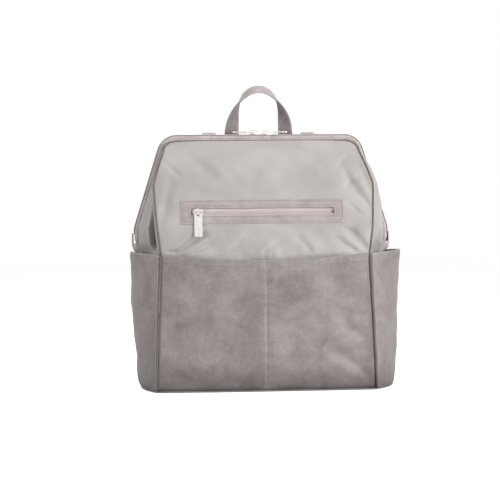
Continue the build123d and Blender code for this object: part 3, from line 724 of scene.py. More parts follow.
def upper_profile():
    """Heights and y of the upper front's middle: smoothed, but kept flat under the zip patch."""
    # z, y
    stations = np.array([
        (160, -88.2), (184, -88.2), (200, -87.6), (224, -86.0), (269, -67.8), (292, -54.8),
        (313, -41.5), (331, -25.5), (349.0, -6.2), (365, 6)])
    heights = np.linspace(160, 365, 411)
    raw = np.interp(heights, stations[:, 0], stations[:, 1])
    kernel = np.exp(-(np.arange(-30, 31) * 0.5 / 5.0) ** 2)
    smooth = np.convolve(np.pad(raw, 30, mode="edge"), kernel / kernel.sum(), mode="valid")
    flat = ((heights > 229) & (heights < 264)).astype(float)
    flat = np.convolve(np.pad(flat, 12, mode="edge"), np.ones(25) / 25, mode="valid")
    return heights, smooth * (1 - flat) + raw * flat


UPPER_PROFILE = upper_profile()


def profile_y(z):
    return np.interp(z, *UPPER_PROFILE)


def leg_line(z):
    """Where the corner cloth meets the channel: along the leg, round the corner, tucked in
    below."""
    rise = (LEG_X - CORNER_X) * (z - LEG_TOP_Z) / (ZIP_Z - LEG_TOP_Z)
    x = LEG_X - 5.2 - np.maximum(0.0, rise) - 0.9
    arc = ARC_X + np.sqrt(np.clip(20.8 ** 2 - (z - ARC_Z) ** 2, 0.0, None))
    x = np.where(z > 334.0, arc, x)
    return x - 3.8 * (1 - ramp(z, 190, 206)) - 6.5 * (1 - ramp(z, 176, 191))


def rounded_path(points, radius, step):
    """Polyline turning right at rounded corners: rows of x, z and the normal to the right."""
    points = [np.array(p, float) for p in points]
    rows = []

    def straight(start, end, normal, last=0):
        count = max(1, int(np.linalg.norm(end - start) / step))
        for k in range(count + last):
            rows.append((*(start + (end - start) * k / count), *normal))

    here = points[0]
    for before, corner, after in zip(points, points[1:], points[2:]):
        d1, d2 = unit(corner - before), unit(after - corner)
        turn = math.acos(max(-1, min(1, float(d1 @ d2))))
        cut = radius * math.tan(turn / 2)
        start = corner - d1 * cut
        normal = np.array([d1[1], -d1[0]])
        straight(here, start, normal)
        centre = start + normal * radius
        count = max(4, int(radius * turn / step))
        for k in range(count):
            c, s = math.cos(-turn * k / count), math.sin(-turn * k / count)
            rotate = np.array([[c, -s], [s, c]])
            rows.append((*(centre + rotate @ (start - centre)), *(rotate @ normal)))
        here = corner + d2 * cut
    d1 = unit(points[-1] - here)
    straight(here, points[-1], np.array([d1[1], -d1[0]]), last=1)
    return np.array(rows)


def mouth(foot_z, step=2.0):
    """The mouth's line from foot to foot, with normals into the opening."""
    return rounded_path([
        (-LEG_X, foot_z), (-LEG_X, LEG_TOP_Z), (-CORNER_X, ZIP_Z),
        (CORNER_X, ZIP_Z), (LEG_X, LEG_TOP_Z), (LEG_X, foot_z)], FRAME_RADIUS, step)


def inward(path):
    return xyz(path[:, 2], 0.0, path[:, 3])


def mouth_line(path, depth, y):
    """Points at a depth inside the mouth's line."""
    return xyz(path[:, 0], y, path[:, 1]) + inward(path) * depth


def mouth_sweep(path, section):
    """Section columns: depth inside the mouth's line, y."""
    across_y = np.broadcast_to(np.array([0.0, 1.0, 0.0]), (len(path), 3))
    return sweep(mouth_line(path, 0.0, 0.0), inward(path), across_y, section)


# ---- lower front ----
# x0, z0, x1, z1, width, depth
LOWER_CREASES = (
    (-150, 98, -112, 116, 9, 2.2), (-148, 30, -96, 52, 9, 1.6), (149, 16, 84, 62, 11, 2.4),
    (146, 150, 98, 82, 13, 2.6), (-142, 176, -104, 136, 11, 1.5), (146, 66, 104, 92, 8, 1.6),
    (120, 96, 60, 132, 14, 1.2), (-30, 150, -74, 96, 16, 1.1), (-149, 74, -118, 90, 6, 2.6),
    (-149, 62, -128, 58, 5, 2.0), (147, 112, 122, 96, 6, 2.4), (149, 40, 112, 34, 7, 1.8),
    (-150, 16, -112, 24, 7, 1.4))
HEM_ROWS = (2.2, 6.2)      # stitch rows below the top edge


def lower_y(x, z):
    """Outer face of the lower front."""
    half = lower_half(z)
    dome = np.clip(1 - (x / half) ** 2, 0, 1)
    slack = np.clip(1 - (np.abs(x) / half) ** 6, 0, 1)
    y = -86.0 - (5.0 + 2.0 * z / LOW_TOP_Z) * dome - 2.0 * bell(z, 52.0, 44.0) * dome
    y = y + 3.0 * np.clip((8.0 - z) / 8.0, 0, 1) ** 2 + 3.4 * np.clip((34.0 - z) / 34.0, 0, 1) ** 1.7
    # middle seam: pinched in, puffed beside it, with puckers
    y = y + 0.75 * np.exp(-(np.abs(x) / 1.3) ** 1.3) - 0.25 * bell(np.abs(x), 7.0, 5.0)
    pucker = np.sin(z * 2 * math.pi / 13.0 + 1.5 * np.sin(z / 21.0))
    y = y - 0.22 * np.exp(-(np.abs(x) - 5) ** 2 / 40.0) * pucker
    y = y - slack * (1.5 * waves(x, z, 105.0, 11) + 0.6 * waves(x, z, 38.0, 12))
    y = y - slack * creases(x, z, LOWER_CREASES)
    # hem folded over along the top, dented by its two rows of stitching
    below = seam_z(x) - z
    y = y - 0.40 * (1 - ramp(below, 8.2, 9.6))
    y = y + 0.40 * bell(below, HEM_ROWS[0], 0.8) + 0.30 * bell(below, HEM_ROWS[1], 0.8)
    ripple = np.sin(x * 2 * math.pi / 11.0 + 2 * np.sin(x / 37.0))
    return y - slack * 0.13 * ripple * (1 - ramp(below, 0, 22))


def sew_lower(x, z):
    threads.append((xyz(x, lower_y(x, z) + 0.05, z), FRONT))


def lower_front():
    for sign, side in SIDES:
        def place(z):
            return sign * (0.06 + (lower_half(z) - 0.06) * across)
        across, up = grid(np.linspace(0, 1, 96) ** 0.9, np.linspace(0, 1, 130))
        z = BASE_GAP + up * (seam_z(place(BASE_GAP + up * 182)) - BASE_GAP)
        x = place(z)
        add("lower_front_" + side, sheet(xyz(x, lower_y(x, z), z), 1.7, FRONT), [LEATHER],
            "leatherette", "front_lower_%s_panel" % side)
    for below in HEM_ROWS:
        x = np.linspace(-139.5, 139.5, 240)
        sew_lower(x, seam_z(x) - below)
    for x in (-3.6, 3.6):
        z = np.linspace(5, 166, 140)
        sew_lower(np.full_like(z, x), z)


# ---- upper front: nylon, gathered a little over the seam, with a window for the zip ----
PATCH_MID = np.array([-3.5, -76.9, 246.5])
PATCH_RUN, PATCH_RISE = 18.2, 45.0      # slope of the zip patch in y and z
PATCH_SLANT = math.hypot(PATCH_RUN, PATCH_RISE)
PATCH_UP = np.array([0.0, PATCH_RUN / PATCH_SLANT, PATCH_RISE / PATCH_SLANT])
PATCH_OUT = np.array([0.0, -PATCH_RISE / PATCH_SLANT, PATCH_RUN / PATCH_SLANT])

# x0, z0, x1, z1, width, depth
UPPER_CREASES = (
    (-136, 193, -119, 192, 2.8, 4.2), (-128, 187, -84, 218, 5.5, 5.4),
    (-106, 187, -70, 207, 4.5, 2.6), (146, 187, 112, 226, 6.0, 6.0),
    (130, 187, 96, 208, 4.6, 3.0), (150, 246, 116, 298, 6.5, 6.0),
    (136, 240, 104, 262, 6.0, 3.2), (134, 268, 104, 322, 7.5, 4.0),
    (149, 272, 132, 330, 4.6, 4.2), (-144, 226, -126, 300, 7.5, 3.4),
    (-104, 326, -56, 284, 9.0, 2.8), (128, 334, 98, 300, 5.0, 2.6),
    (140, 300, 110, 276, 5.0, 2.4), (-138, 318, -112, 292, 5.0, 2.2),
    (-66, 322, -26, 280, 7.5, 1.3), (-20, 330, 40, 290, 10.0, 2.3),
    (66, 330, 100, 284, 9.0, 2.2), (22, 318, 66, 300, 7.0, 1.0),
    (-8, 187, 28, 213, 6.0, 2.0), (-54, 187, -28, 211, 5.0, 2.0),
    (66, 187, 42, 213, 5.0, 2.0))


def upper_y(x, z):
    """Outer face of the nylon."""
    share = np.clip(x / upper_half(z), -1, 1)
    crown = 5.2 * (1 - ramp(z, 188, 224)) + 2.6 * ramp(z, 270, 296) * (1 - ramp(z, 320, 350))
    y = profile_y(z) - crown * (1 - share ** 2) + 3.4 * np.abs(share) ** 9
    # how free the cloth is: not at all under the patch or at the frame
    from_x, from_z = np.abs(x - PATCH_MID[0]), np.abs(z - PATCH_MID[2])
    free = ramp(np.maximum((from_x - 112) / 18.0, (from_z - 16) / 14.0), 0.0, 1.0)
    free = free * (1 - ramp(z, 330, 348)) * (1 - 0.8 * np.abs(share) ** 10)
    height = 2.1 * waves(x, z, 95.0, 31) + 0.8 * waves(x, z, 34.0, 32)
    height = height + creases(x, z, UPPER_CREASES)
    # small gathers where it is sewn to the lower front
    above = z - seam_z(x)
    gather = np.sin(x * 2 * math.pi / 17.0 + 3.4 * np.sin(x / 27.0) + 1.3 * np.sin(x / 9.0))
    height = height + 0.55 * (1 - ramp(above, 2, 26)) * gather * (0.6 + 0.4 * np.sin(x / 43.0))
    y = y - free * height
    # tucked under the hem of the lower front
    out = ramp(above, -0.6, 7.0)
    return (lower_y(x, z) + 2.4) * (1 - out) + y * out


def upper_front():
    heights = np.unique(np.r_[
        np.linspace(180.5, 238.2, 46), np.linspace(239.4, 253.6, 12),
        np.linspace(254.8, 344.0, 62), np.linspace(345.2, 348.6, 4)])
    shares = np.unique(np.r_[
        np.linspace(-1, -0.70, 40), np.linspace(-0.695, 0.652, 110), np.linspace(0.66, 1, 46)])
    share, level = grid(shares, heights)
    # the lowest rows follow the seam
    seam = seam_z(share * upper_half(level))
    z = level + (seam - 7.0 - 180.5) * (1 - ramp(level, 181, 226))
    x = share * upper_half(z)
    cell_x, cell_z = ((v[:-1, :-1] + v[1:, 1:]) / 2 for v in (x, z))
    window = (np.abs(cell_x - PATCH_MID[0]) < 101.0) & (np.abs(cell_z - PATCH_MID[2]) < 6.6)
    shape = sheet(xyz(x, upper_y(x, z), z), 1.6, (0, -1, 0.6), keep=~window, inner_slot=1)
    add("upper_front", shape, NYLON_LINED, "nylon", "front_upper_panel", body=MOUTH_BLEND)


# ---- corners between the front or back and the frame ----
def front_edge(sign, z):
    half = upper_half(z)
    return xyz(sign * (half + 0.4), upper_y(sign * half, z) + 1.0, z)


def ruled(edge, leg, count, sign):
    """Straight surface from edge to leg, its level outward direction, and its grid of
    (share of the way, z)."""
    share = np.linspace(0, 1, count)
    surface = edge[None] * (1 - share[:, None, None]) + leg[None] * share[:, None, None]
    span = (leg - edge) * sign
    outward = unit(xyz(span[:, 1], -span[:, 0], 0.0))
    return surface, outward[None], *grid(share, edge[:, 2])


def front_corner(sign, side):
    z = np.linspace(174.0, 346.6, 96)
    surface, outward, s, z = ruled(front_edge(sign, z), xyz(sign * leg_line(z), -5.6, z), 76, sign)
    belly = np.sin(math.pi * s)
    fade = (1 - ramp(z, 300, 338)) * ramp(z, 176, 196)
    if sign < 0:
        hollow = np.sin(math.pi * np.clip((s - 0.05) / 0.8, 0, 1)) ** 1.5
        height = (-4.0 * hollow * (1 - ramp(z, 250, 300))
                  + 2.0 * bell(s, 0.10, 0.06) * (1 - ramp(z, 240, 290)) * ramp(z, 178, 200)
                  - 3.0 * belly * ramp(z, 240, 290)
                  + 2.4 * bell(s, 0.80, 0.10) * (1 - ramp(z, 240, 300)))
    else:
        swell = np.sin(math.pi * np.clip(s / 0.85, 0, 1)) ** 1.2
        height = (8.0 * swell * ramp(z, 196, 226)
                  - 3.2 * bell(s, 0.62, 0.10) * bell(z, 236, 20)
                  + 2.0 * bell(s, 0.45, 0.16) * bell(z, 262, 22)
                  - 2.6 * bell(s, 0.72, 0.08) * bell(z, 262, 16))
    height = height * fade + 0.9 * belly * waves(s * 90, z, 42.0, 51 + sign)
    height = height + 0.35 * belly * waves(s * 90, z, 16.0, 57 + sign)
    surface = surface + outward * height[..., None]
    if sign < 0:
        # the cloth folds back into a deep pleat beside the seam
        pleat = ramp(s, 0.08, 0.24) * (1 - ramp(s, 0.36, 0.60))
        pleat = pleat * (1 - ramp(z, 206, 288)) * ramp(z, 184, 205)
        surface = surface + pleat[..., None] * np.array([3.0, 27.0, 0.0])
    add(side + "_front_corner", sheet(surface, 1.2, (sign, -0.4, 0), inner_slot=1),
        NYLON_LINED, "nylon", side + "_front_gusset", body=MOUTH_BLEND)


def upper_piping(sign, side):
    """Piping along the upper front's side edge, and the stitching beside it."""
    z = np.linspace(184.0, 347.2, 170)
    cord = front_edge(sign, z) + np.array([sign * 0.5, -0.9, 0.0])
    add(side + "_upper_piping", tube(cord, 1.45, seed=5), [PIPING], "piping",
        side + "_upper_piping", body=MOUTH_BLEND)
    x = cord[:, 0] - sign * 4.2
    mouth_threads.append((xyz(x, upper_y(x, z) + 0.05, z)[6:-34], (0, -1, 0.4)))


def rear_corner(sign, side):
    z = np.linspace(174.0, 346.6, 80)
    back_y = np.where(z < 200, 88.0, 88.0 - 52.0 * (z - 200.0) / 147.0)
    half = np.interp(z, [200, 346.6], [148.0, 133.0])
    edge = xyz(sign * (half - 2.6), np.maximum(back_y - 4.2, 31.0), z)
    surface, outward, s, z = ruled(edge, xyz(sign * leg_line(z), 29.6, z), 34, -sign)
    belly = np.sin(math.pi * s)
    height = -3.5 * belly + 1.6 * np.sin(2 * math.pi * s)
    height = height * (1 - ramp(z, 290, 338)) * ramp(z, 176, 196)
    height = height + belly * (0.9 * waves(s * 60, z, 40.0, 61 + sign)
                               + 0.3 * waves(s * 60, z, 15.0, 63 + sign))
    add(side + "_rear_corner",
        sheet(surface + outward * height[..., None], 1.2, (sign, 0.6, 0), inner_slot=1),
        NYLON_LINED, "nylon", side + "_rear_gusset")


# ---- side walls and side pockets ----
POCKET_BULGE = {"left": (187.0, 175.0), "right": (197.0, 187.0)}    # x at the top, at the foot
POCKET_Y = (-86.4, 87.0)
RIM_ROWS = (2.5, 11.0)                                              # stitch rows below the rim
# y0, z0, y1, z1, width, depth
POCKET_CREASES = (
    (-82, 10, -44, 60, 8, 2.0), (-80, 176, -46, 120, 9, 1.8), (-30, 186, -22, 110, 9, 1.6),
    (34, 186, 20, 100, 10, 1.6), (80, 14, 44, 66, 8, 1.6), (10, 10, -8, 60, 9, 1.2))


def arched(y, ends_y, ends_x, bulge, power=2.0):
    """x of a wall that swells to bulge midway between its two edges."""
    (y0, y1), (x0, x1) = ends_y, ends_x
    t = (y - y0) / (y1 - y0)
    return x0 + (x1 - x0) * t + (bulge - (x0 + x1) / 2) * (1 - np.abs(2 * t - 1) ** power)


def pocket_bulge(side, height):
    top, foot = POCKET_BULGE[side]
    return foot + (top - foot) * height


def side_wall(sign, side):
    y, z = grid(np.linspace(-81.0, 79.0, 60), np.linspace(BASE_GAP, 181.0, 64))
    slack = np.sin(math.pi * (y + 81) / 160)
    x = arched(y, (-81, 79), (144.6, 143.0), 157.0)
    x = x + slack * (0.9 * waves(y, z, 70.0, 71 + sign) + 0.3 * waves(y, z, 26.0, 73 + sign))
    add(side + "_side_wall", sheet(xyz(sign * x, y, z), 1.4, (sign, 0, 0), inner_slot=1),
        NYLON_LINED, "nylon", side + "_side_panel")


def side_pocket(sign, side):
    y, up = grid(np.linspace(*POCKET_Y, 112), np.linspace(0, 1, 90))
    slack = np.clip(np.sin(math.pi * (y - POCKET_Y[0]) / (POCKET_Y[1] - POCKET_Y[0])), 0, 1)
    rim = POCKET_RIM_Z + 4.5 * slack ** 0.7
    z = 2.8 + up * (rim - 2.8)
    height = z / 190.0
    x = arched(y, POCKET_Y, (154.2 + (146.4 - 154.2) * height, 150.4),
               pocket_bulge(side, height), 2.3)
    x = x - 3.2 * np.clip((9.0 - z) / 9.0, 0, 1) ** 2
    x = x + slack * (1.5 * waves(y, z, 78.0, 81 + sign) + 0.5 * waves(y, z, 28.0, 83 + sign)
                     + creases(y, z, POCKET_CREASES))
    if sign < 0:
        x = x + 3.2 * slack * np.sin(math.pi * up)
    below = rim - z
    x = x + 0.35 * (1 - ramp(below, 12.5, 14.2))
    x = x - 0.35 * bell(below, RIM_ROWS[0], 0.9) - 0.25 * bell(below, RIM_ROWS[1], 0.9)
    surface = xyz(sign * x, y, z)
    add(side + "_pocket", sheet(surface, 1.9, (sign, 0, 0), inner_slot=1), [LEATHER, LINING],
        "leatherette", side + "_side_pocket")
    for row in RIM_ROWS:
        line = surface[np.arange(len(y)), np.argmin(np.abs(below - row), axis=1)]
        line[:, 2] = rim[:, 0] - row
        normals = xyz(float(sign), y[:, 0] / 85.0, 0.0)
        threads.append((line[2:-2], normals[2:-2]))


def pocket_inside(sign, side):
    """Dark lining inside the pocket."""
    y, z = grid(np.linspace(-76.0, 76.0, 60), np.linspace(5.0, 186.5, 50))
    height = z / 190.0
    x = arched(y, (-84.8, 84.8), (156.3 + (148.6 - 156.3) * height, 155.0),
               pocket_bulge(side, height), 2.3)
    x = x - 4.2 + 0.35 * waves(y, z, 60.0, 91)
    add(side + "_pocket_inside", sheet(xyz(sign * x, y, z), 0.7, (sign, 0, 0)), [LINING],
        "lining", side + "_pocket_lining")


def lower_piping(sign, side):
    """Corded seam between front and pocket, and the stitching beside it."""
    z = np.linspace(3.0, 186.5, 150)
    x = 151.9 + (143.6 - 151.9) * z / LOW_TOP_Z
    y = -87.7 + 0.25 * np.sin(z / 11.0) + 3.0 * np.clip((9.0 - z) / 9.0, 0, 1) ** 2
    cord = xyz(sign * (x + 0.25 + 0.15 * np.sin(z / 7.0)), y, z)
    add(side + "_lower_piping_cord", tube(cord, 1.65, seed=8), [PIPING], "piping",
        side + "_lower_piping")
    z = np.linspace(8, 172, 120)
    sew_lower(sign * (lower_half(z) - 3.4), z)


# ---- base ----
def arc_through(first, middle, last, count):
    """Points along the circle through three points."""
    (ax, ay), (bx, by), (cx, cy) = first, middle, last
    det = 2 * (ax * (by - cy) + bx * (cy - ay) + cx * (ay - by))
    aa, bb, cc = ax ** 2 + ay ** 2, bx ** 2 + by ** 2, cx ** 2 + cy ** 2
    x = (aa * (by - cy) + bb * (cy - ay) + cc * (ay - by)) / det
    y = (aa * (cx - bx) + bb * (ax - cx) + cc * (bx - ax)) / det
    start, via, end = (math.atan2(p[1] - y, p[0] - x) for p in (first, middle, last))
    while via < start:
        via += 2 * math.pi
    while end < start:
        end += 2 * math.pi
    if via > end:
        end -= 2 * math.pi
    t = np.linspace(start, end, count)
    radius = math.hypot(ax - x, ay - y)
    return np.stack([x + radius * np.cos(t), y + radius * np.sin(t)], 1)


def base():
    count = 60
    right, left = (POCKET_BULGE[side][1] - 1.5 for side in ("right", "left"))
    outline = np.vstack([
        arc_through((-150.5, -86.5), (0, -91.0), (150.5, -86.5), count),
        arc_through((152.6, -85.2), (right, 0), (150.6, 86.0), count),
        np.linspace((149.0, 87.6), (-149.0, 87.6), count),
        arc_through((-150.6, 86.0), (-left, 0), (-152.6, -85.2), count)])
    centre = outline.mean(0)
    # inset, z
    stations = ((150, 1.9), (90, 1.95), (40, 2.0), (12, 2.05), (2.0, 2.1), (0.4, 1.8), (0.0, 1.1),
                (0.5, 0.45), (2.0, 0.0), (12, 0.0), (40, 0.0), (90, 0.0), (150, 0.0))
    rings = []
    for inset, z in stations:
        if inset < 60:
            ring = shrunk(outline, inset, least=0.04)
        else:
            ring = centre + (outline - centre) * (1 - inset / 190.0)
        rings.append(xyz(ring[:, 0], ring[:, 1], z))
    add("base_sheet", skin(rings), [LEATHER], "leatherette", "base_panel")


# ---- mouth frame: channels, tapes, teeth ----
CHANNEL_Y = {"front": -0.25, "rear": 24.25}
MOUTH_BODY = {"front": "mouth_front", "rear": "bag_body"}
FACING = {"front": -1, "rear": 1}
MOUTH_STITCH_FOOT_Z = 216.0


def channel_section(centre_y, face, seed):
    """Rounded square round the frame wire, with a raised seam on its outer face."""
    angle = np.linspace(0, 2 * math.pi, 28, endpoint=False)
    power = 2.0 / 2.7
    cos, sin = np.cos(angle), np.sin(angle)
    square_cos = np.sign(cos) * np.abs(cos) ** power
    square_sin = np.sign(sin) * np.abs(sin) ** power
    outside = np.sign(sin) == face

    def section(f, k):
        along = k * 2.0
        ripple = (1 + 0.020 * float(waves(along, 0.0, 13.0, seed))
                  + 0.014 * float(waves(along, 0.0, 45.0, 7)))
        end = min(1.0, 0.55 + 0.45 * min(f, 1 - f) * 90)
        depth = 5.0 + 4.5 * square_cos * end
        y = centre_y + 4.7 * square_sin * ripple * end
        y = y + face * outside * (0.45 * bell(depth, 8.2, 0.9) - 0.55 * bell(depth, 6.6, 0.6))
        return np.stack([depth, y], 1)
    return section


def tape_section(y0, y1, cord_y):
    """Thin woven tape with a corded edge beside the teeth and a thin far edge."""
    y = np.linspace(y0, y1, 15)
    thickness = 0.32 + 0.35 * bell(y, cord_y, 0.7)
    thickness[0] = thickness[-1] = 0.12
    top = np.stack([-thickness, y], 1)
    return np.vstack([top, np.stack([np.minimum(thickness, 0.42), y], 1)[::-1]])


def mouth_band():
    path = mouth(203.4)
    for half, seed in (("front", 5), ("rear", 6)):
        section = channel_section(CHANNEL_Y[half], FACING[half], seed)
        add(half + "_channel", mouth_sweep(path, section), [LEATHER_BAND], "leatherette",
            half + "_frame_channel", body=MOUTH_BODY[half])
    path = mouth(217.0, 1.6)
    for half, span, cord_y in (("front", (-4.2, 9.1), 8.2), ("rear", (14.9, 28.2), 15.8)):
        add(half + "_tape", mouth_sweep(path, tape_section(*span, cord_y)), [TAPE], "zip_tape",
            half + "_zip_tape", body=MOUTH_BODY[half])


def mouth_teeth():
    pitch = 2.35
    fine = mouth(218.5, 0.5)
    distance = travelled(fine[:, :2])
    for half, shift in (("front", 0.0), ("rear", 0.5)):      # the two rows interlock
        at = np.arange(1.0 + shift * pitch, distance[-1] - 1.0, pitch)
        x, z, nx, nz = (np.interp(at, distance, fine[:, k]) for k in range(4))
        shape = teeth(xyz(x, HINGE_Y, z), along=xyz(-nz, 0.0, nx),
                      across=np.array((0.0, FACING[half], 0.0)), outward=-xyz(nx, 0.0, nz),
                      inner=0.18, outer=2.75)
        add(half + "_teeth", shape, [TEETH], "zip_teeth", half + "_zip_teeth",
            body=MOUTH_BODY[half], smooth=False)


def mouth_stitching():
    path = mouth(MOUTH_STITCH_FOOT_Z)
    for half, y in (("front", -4.12), ("rear", 28.12)):
        line = mouth_line(path, 6.6, y)
        add(half + "_channel_stitches", stitches([(line, (0.0, FACING[half], 0.0))]),
            [THREAD_NYLON], "webbing", body=MOUTH_BODY[half])
    for half, y in (("front", 2.6), ("rear", 21.4)):
        line = mouth_line(path, -0.34, y)
        add(half + "_tape_stitches", stitches([(line, -inward(path))]), [THREAD_NYLON],
            "webbing", body=MOUTH_BODY[half])


def mouth_shadow_bead():
    """Thin dark cord where the front cloth is sewn into the channel: painted shade for the shadow
    gap there.
    """
    path = mouth(MOUTH_STITCH_FOOT_Z)
    path = path[path[:, 1] > 292.0]
    # painted shade: a dark cord laid along the shadow gap below the channel
    y = np.interp(path[:, 1] - 8.4, [285, 325, 338, 346, 350], [-5.6, -5.8, -6.3, -6.7, -6.8])
    add("mouth_shadow_line", tube(mouth_line(path, 8.5, y), 0.72, seed=21, seg=8), [PIPING],
        "piping", body="mouth_front")


def end_tabs():
    """Leatherette tabs over the zip's ends."""
    tab_z = HINGE_Z - 3
    # growth of the outline, x
    stations = ((-6.0, 182.35), (-0.6, 182.35), (0.0, 182.7), (0.0, 184.0), (-0.7, 184.5),
                (-2.4, 184.25), (-3.4, 184.6), (-8.0, 184.75))

    def upright(outline, x):
        return xyz(x, HINGE_Y + outline[:, 0], tab_z + outline[:, 1])
    tabs = []
    for sign, _ in SIDES:
        tabs.append(skin([
            upright(round_rect(20 + 2 * grow, 20 + 2 * grow, max(0.6, 4.0 + grow * 0.5), 5),
                    sign * x) for grow, x in stations]))
        threads.append((upright(round_rect(15.0, 15.0, 2.0), sign * 184.3), (sign, 0, 0)))
    add("end_tabs", join(tabs), [LEATHER_BAND], "leatherette", "zip_end_tabs")


def leg_cap(sign, side):
    """Cover wrapped round the feet of both channels."""
    # x, y
    wrap = spline([
        (160.0, -5.0), (172.0, -6.6), (178.8, -6.4), (182.2, -3.6), (182.9, 4.0),
        (182.9, 20.0), (182.2, 27.8), (178.8, 30.4), (172.0, 30.6), (160.0, 29.0)], 60)
    x, z = grid(wrap[:, 0], np.linspace(176.0, 203.6, 22))
    y = wrap[:, 1:]
    x = x - (x - 158.0) * (0.47 * (1 - ramp(z, 183.0, 197.0))) + 0.3 * waves(y, z, 14.0, 161)
    add(side + "_leg_cap", sheet(xyz(sign * x, y, z), 1.0, (sign, 0, 0)), [LEATHER_BAND],
        "leatherette")


# ---- front pocket: zip patch, tapes, teeth and the bag behind ----
PATCH_BORDER = 13.1        # from the patch's outer edge to the slot
PATCH_ROWS = (2.6, 10.3)   # stitch rows from the outer edge


def on_patch(x, up, out):
    """Points in the patch's own plane: along x, up its slope and out of it."""
    x, up, out = (v[..., None] for v in np.broadcast_arrays(x, up, out))
    return PATCH_MID + x * np.array([1.0, 0, 0]) + up * PATCH_UP + out * PATCH_OUT


def patch_outline(gap):
    """Rounded rectangle this far in from the patch's edge, always with as many points."""
    f = gap / PATCH_BORDER
    radius = 3.0 - 1.4 * f
    right, top = (224.0 - 26.0 * f) / 2, (36.0 - 26.3 * f) / 2
    mid_x, mid_y = right - radius, top - radius
    # straight start, straight end, its point count, corner centre, corner start angle
    runs = (((-mid_x, -top), (mid_x, -top), 60, (mid_x, -mid_y), -90),
            ((right, -mid_y), (right, mid_y), 14, (mid_x, mid_y), 0),
            ((mid_x, top), (-mid_x, top), 60, (-mid_x, mid_y), 90),
            ((-right, mid_y), (-right, -mid_y), 14, (-mid_x, -mid_y), 180))
    points = []
    for start, end, count, centre, angle in runs:
        points.append(np.linspace(start, end, count, endpoint=False))
        turn = np.radians(angle + 90 * np.arange(6) / 6)
        points.append(np.array(centre) + radius * np.stack([np.cos(turn), np.sin(turn)], 1))
    return np.vstack(points)


def patch_ring(outline, out):
    """Outline laid on the patch, drooping a little at its -x end."""
    x, up = outline[:, 0], outline[:, 1]
    return on_patch(x, up - 0.5 * ramp(-x, 88, 112), out)


def zip_patch():
    # gap from the outer edge, height over the panel
    stations = (
        (1.2, -0.45), (0.3, -0.3), (0.0, 0.35), (0.25, 0.95), (0.8, 1.28), (1.6, 1.32),
        (2.3, 1.02), (2.6, 0.98), (2.9, 1.02), (3.7, 1.28), (6.5, 1.25), (9.3, 1.30),
        (10.0, 1.05), (10.3, 1.0), (10.6, 1.05), (11.4, 1.36), (12.4, 1.30), (12.95, 0.85),
        (13.1, 0.2), (13.1, -0.9), (12.6, -1.15), (11.0, -0.3), (1.2, -0.45))
    rings = []
    for gap, out in stations:
        outline = patch_outline(gap)
        ripple = 0.10 * waves(outline[:, 0], outline[:, 1], 26.0, 41) if out > 0.5 else 0
        rings.append(patch_ring(outline, out + ripple))
    add("zip_patch", skin(rings, "open"), [LEATHER_PATCH], "leatherette", "pocket_zip_patch")
    for gap in PATCH_ROWS:
        threads.append((patch_ring(closed(patch_outline(gap)), 1.10), PATCH_OUT))


def pocket_zip():
    halves = ((-1, "low"), (1, "high"))
    for sign, half in halves:
        x, share = grid(np.linspace(-104, 103.5, 92), np.linspace(0, 1, 22))
        off = 0.35 + share * 7.7
        out = -2.62 - 1.75 * (1 - ramp(off, 1.9, 3.0)) + 0.35 * bell(off, 3.4, 0.5)
        add("pocket_tape_" + half, sheet(on_patch(x, sign * off, out), 0.5, PATCH_OUT), [TAPE],
            "zip_tape", "pocket_zip_tapes")
    for sign, half in halves:
        x = np.arange(-96.2 + (0.9 if sign > 0 else 0), 96.2, 1.85)
        shape = teeth(on_patch(x, 0.0, -2.9), along=np.array((1.0, 0, 0)),
                      across=PATCH_UP * sign, outward=PATCH_OUT, inner=0.14, outer=2.25,
                      length=1.2, height=2.0)
        add("pocket_teeth_" + half, shape, [TEETH], "zip_teeth", "pocket_zip_teeth",
            smooth=False)


def front_pocket_bag():
    x, z = grid(np.linspace(-105, 105, 60), np.linspace(60, 262, 70))
    y = np.where(z < 184, -79.2, profile_y(z) + 8.6)
    y = y + 0.9 * waves(x, z, 60.0, 101) * ramp(105 - np.abs(x), 0, 20)
    add("front_pocket_lining", sheet(xyz(x, np.maximum(y, -79.6), z), 0.8, FRONT), [LINING],
        "lining", "front_pocket_bag")


# ---- padded back ----
# y, z
BACK_LINE = spline([
    (88.0, 3.0), (88.0, 60.0), (88.0, 120.0), (88.0, 175.0), (87.2, 196.0), (82.5, 215.0),
    (70.3, 250.0), (52.6, 300.0), (36.2, 346.4)], 400)
BACK_SLOPE = np.gradient(BACK_LINE[:, 0], BACK_LINE[:, 1])
QUILT_Z = (70.0, 214.0, 262.0, 310.0)
QUILT_X = (-118.0, 118.0)


def back_frame(z):
    """y of the back's outer face and its outward normal, by height."""
    y = np.interp(z, BACK_LINE[:, 1], BACK_LINE[:, 0])
    slope = np.interp(z, BACK_LINE[:, 1], BACK_SLOPE)
    length = np.sqrt(1 + slope * slope)
    return y, xyz(0.0, 1 / length, -slope / length)


def on_back(x, z, out):
    """Points this far out from the back's face, and the face's normals there."""
    y, normals = back_frame(z)
    return xyz(x, y, z) + normals * np.asarray(out)[..., None], normals


def back_half(z):
    return np.interp(z, [0, 200, 332, 340, 346.6], [148.6, 148.6, 134.6, 133.4, 131.0])


def quilt_z(level, x):
    return level + 4.0 * (x / 148.0) ** 2


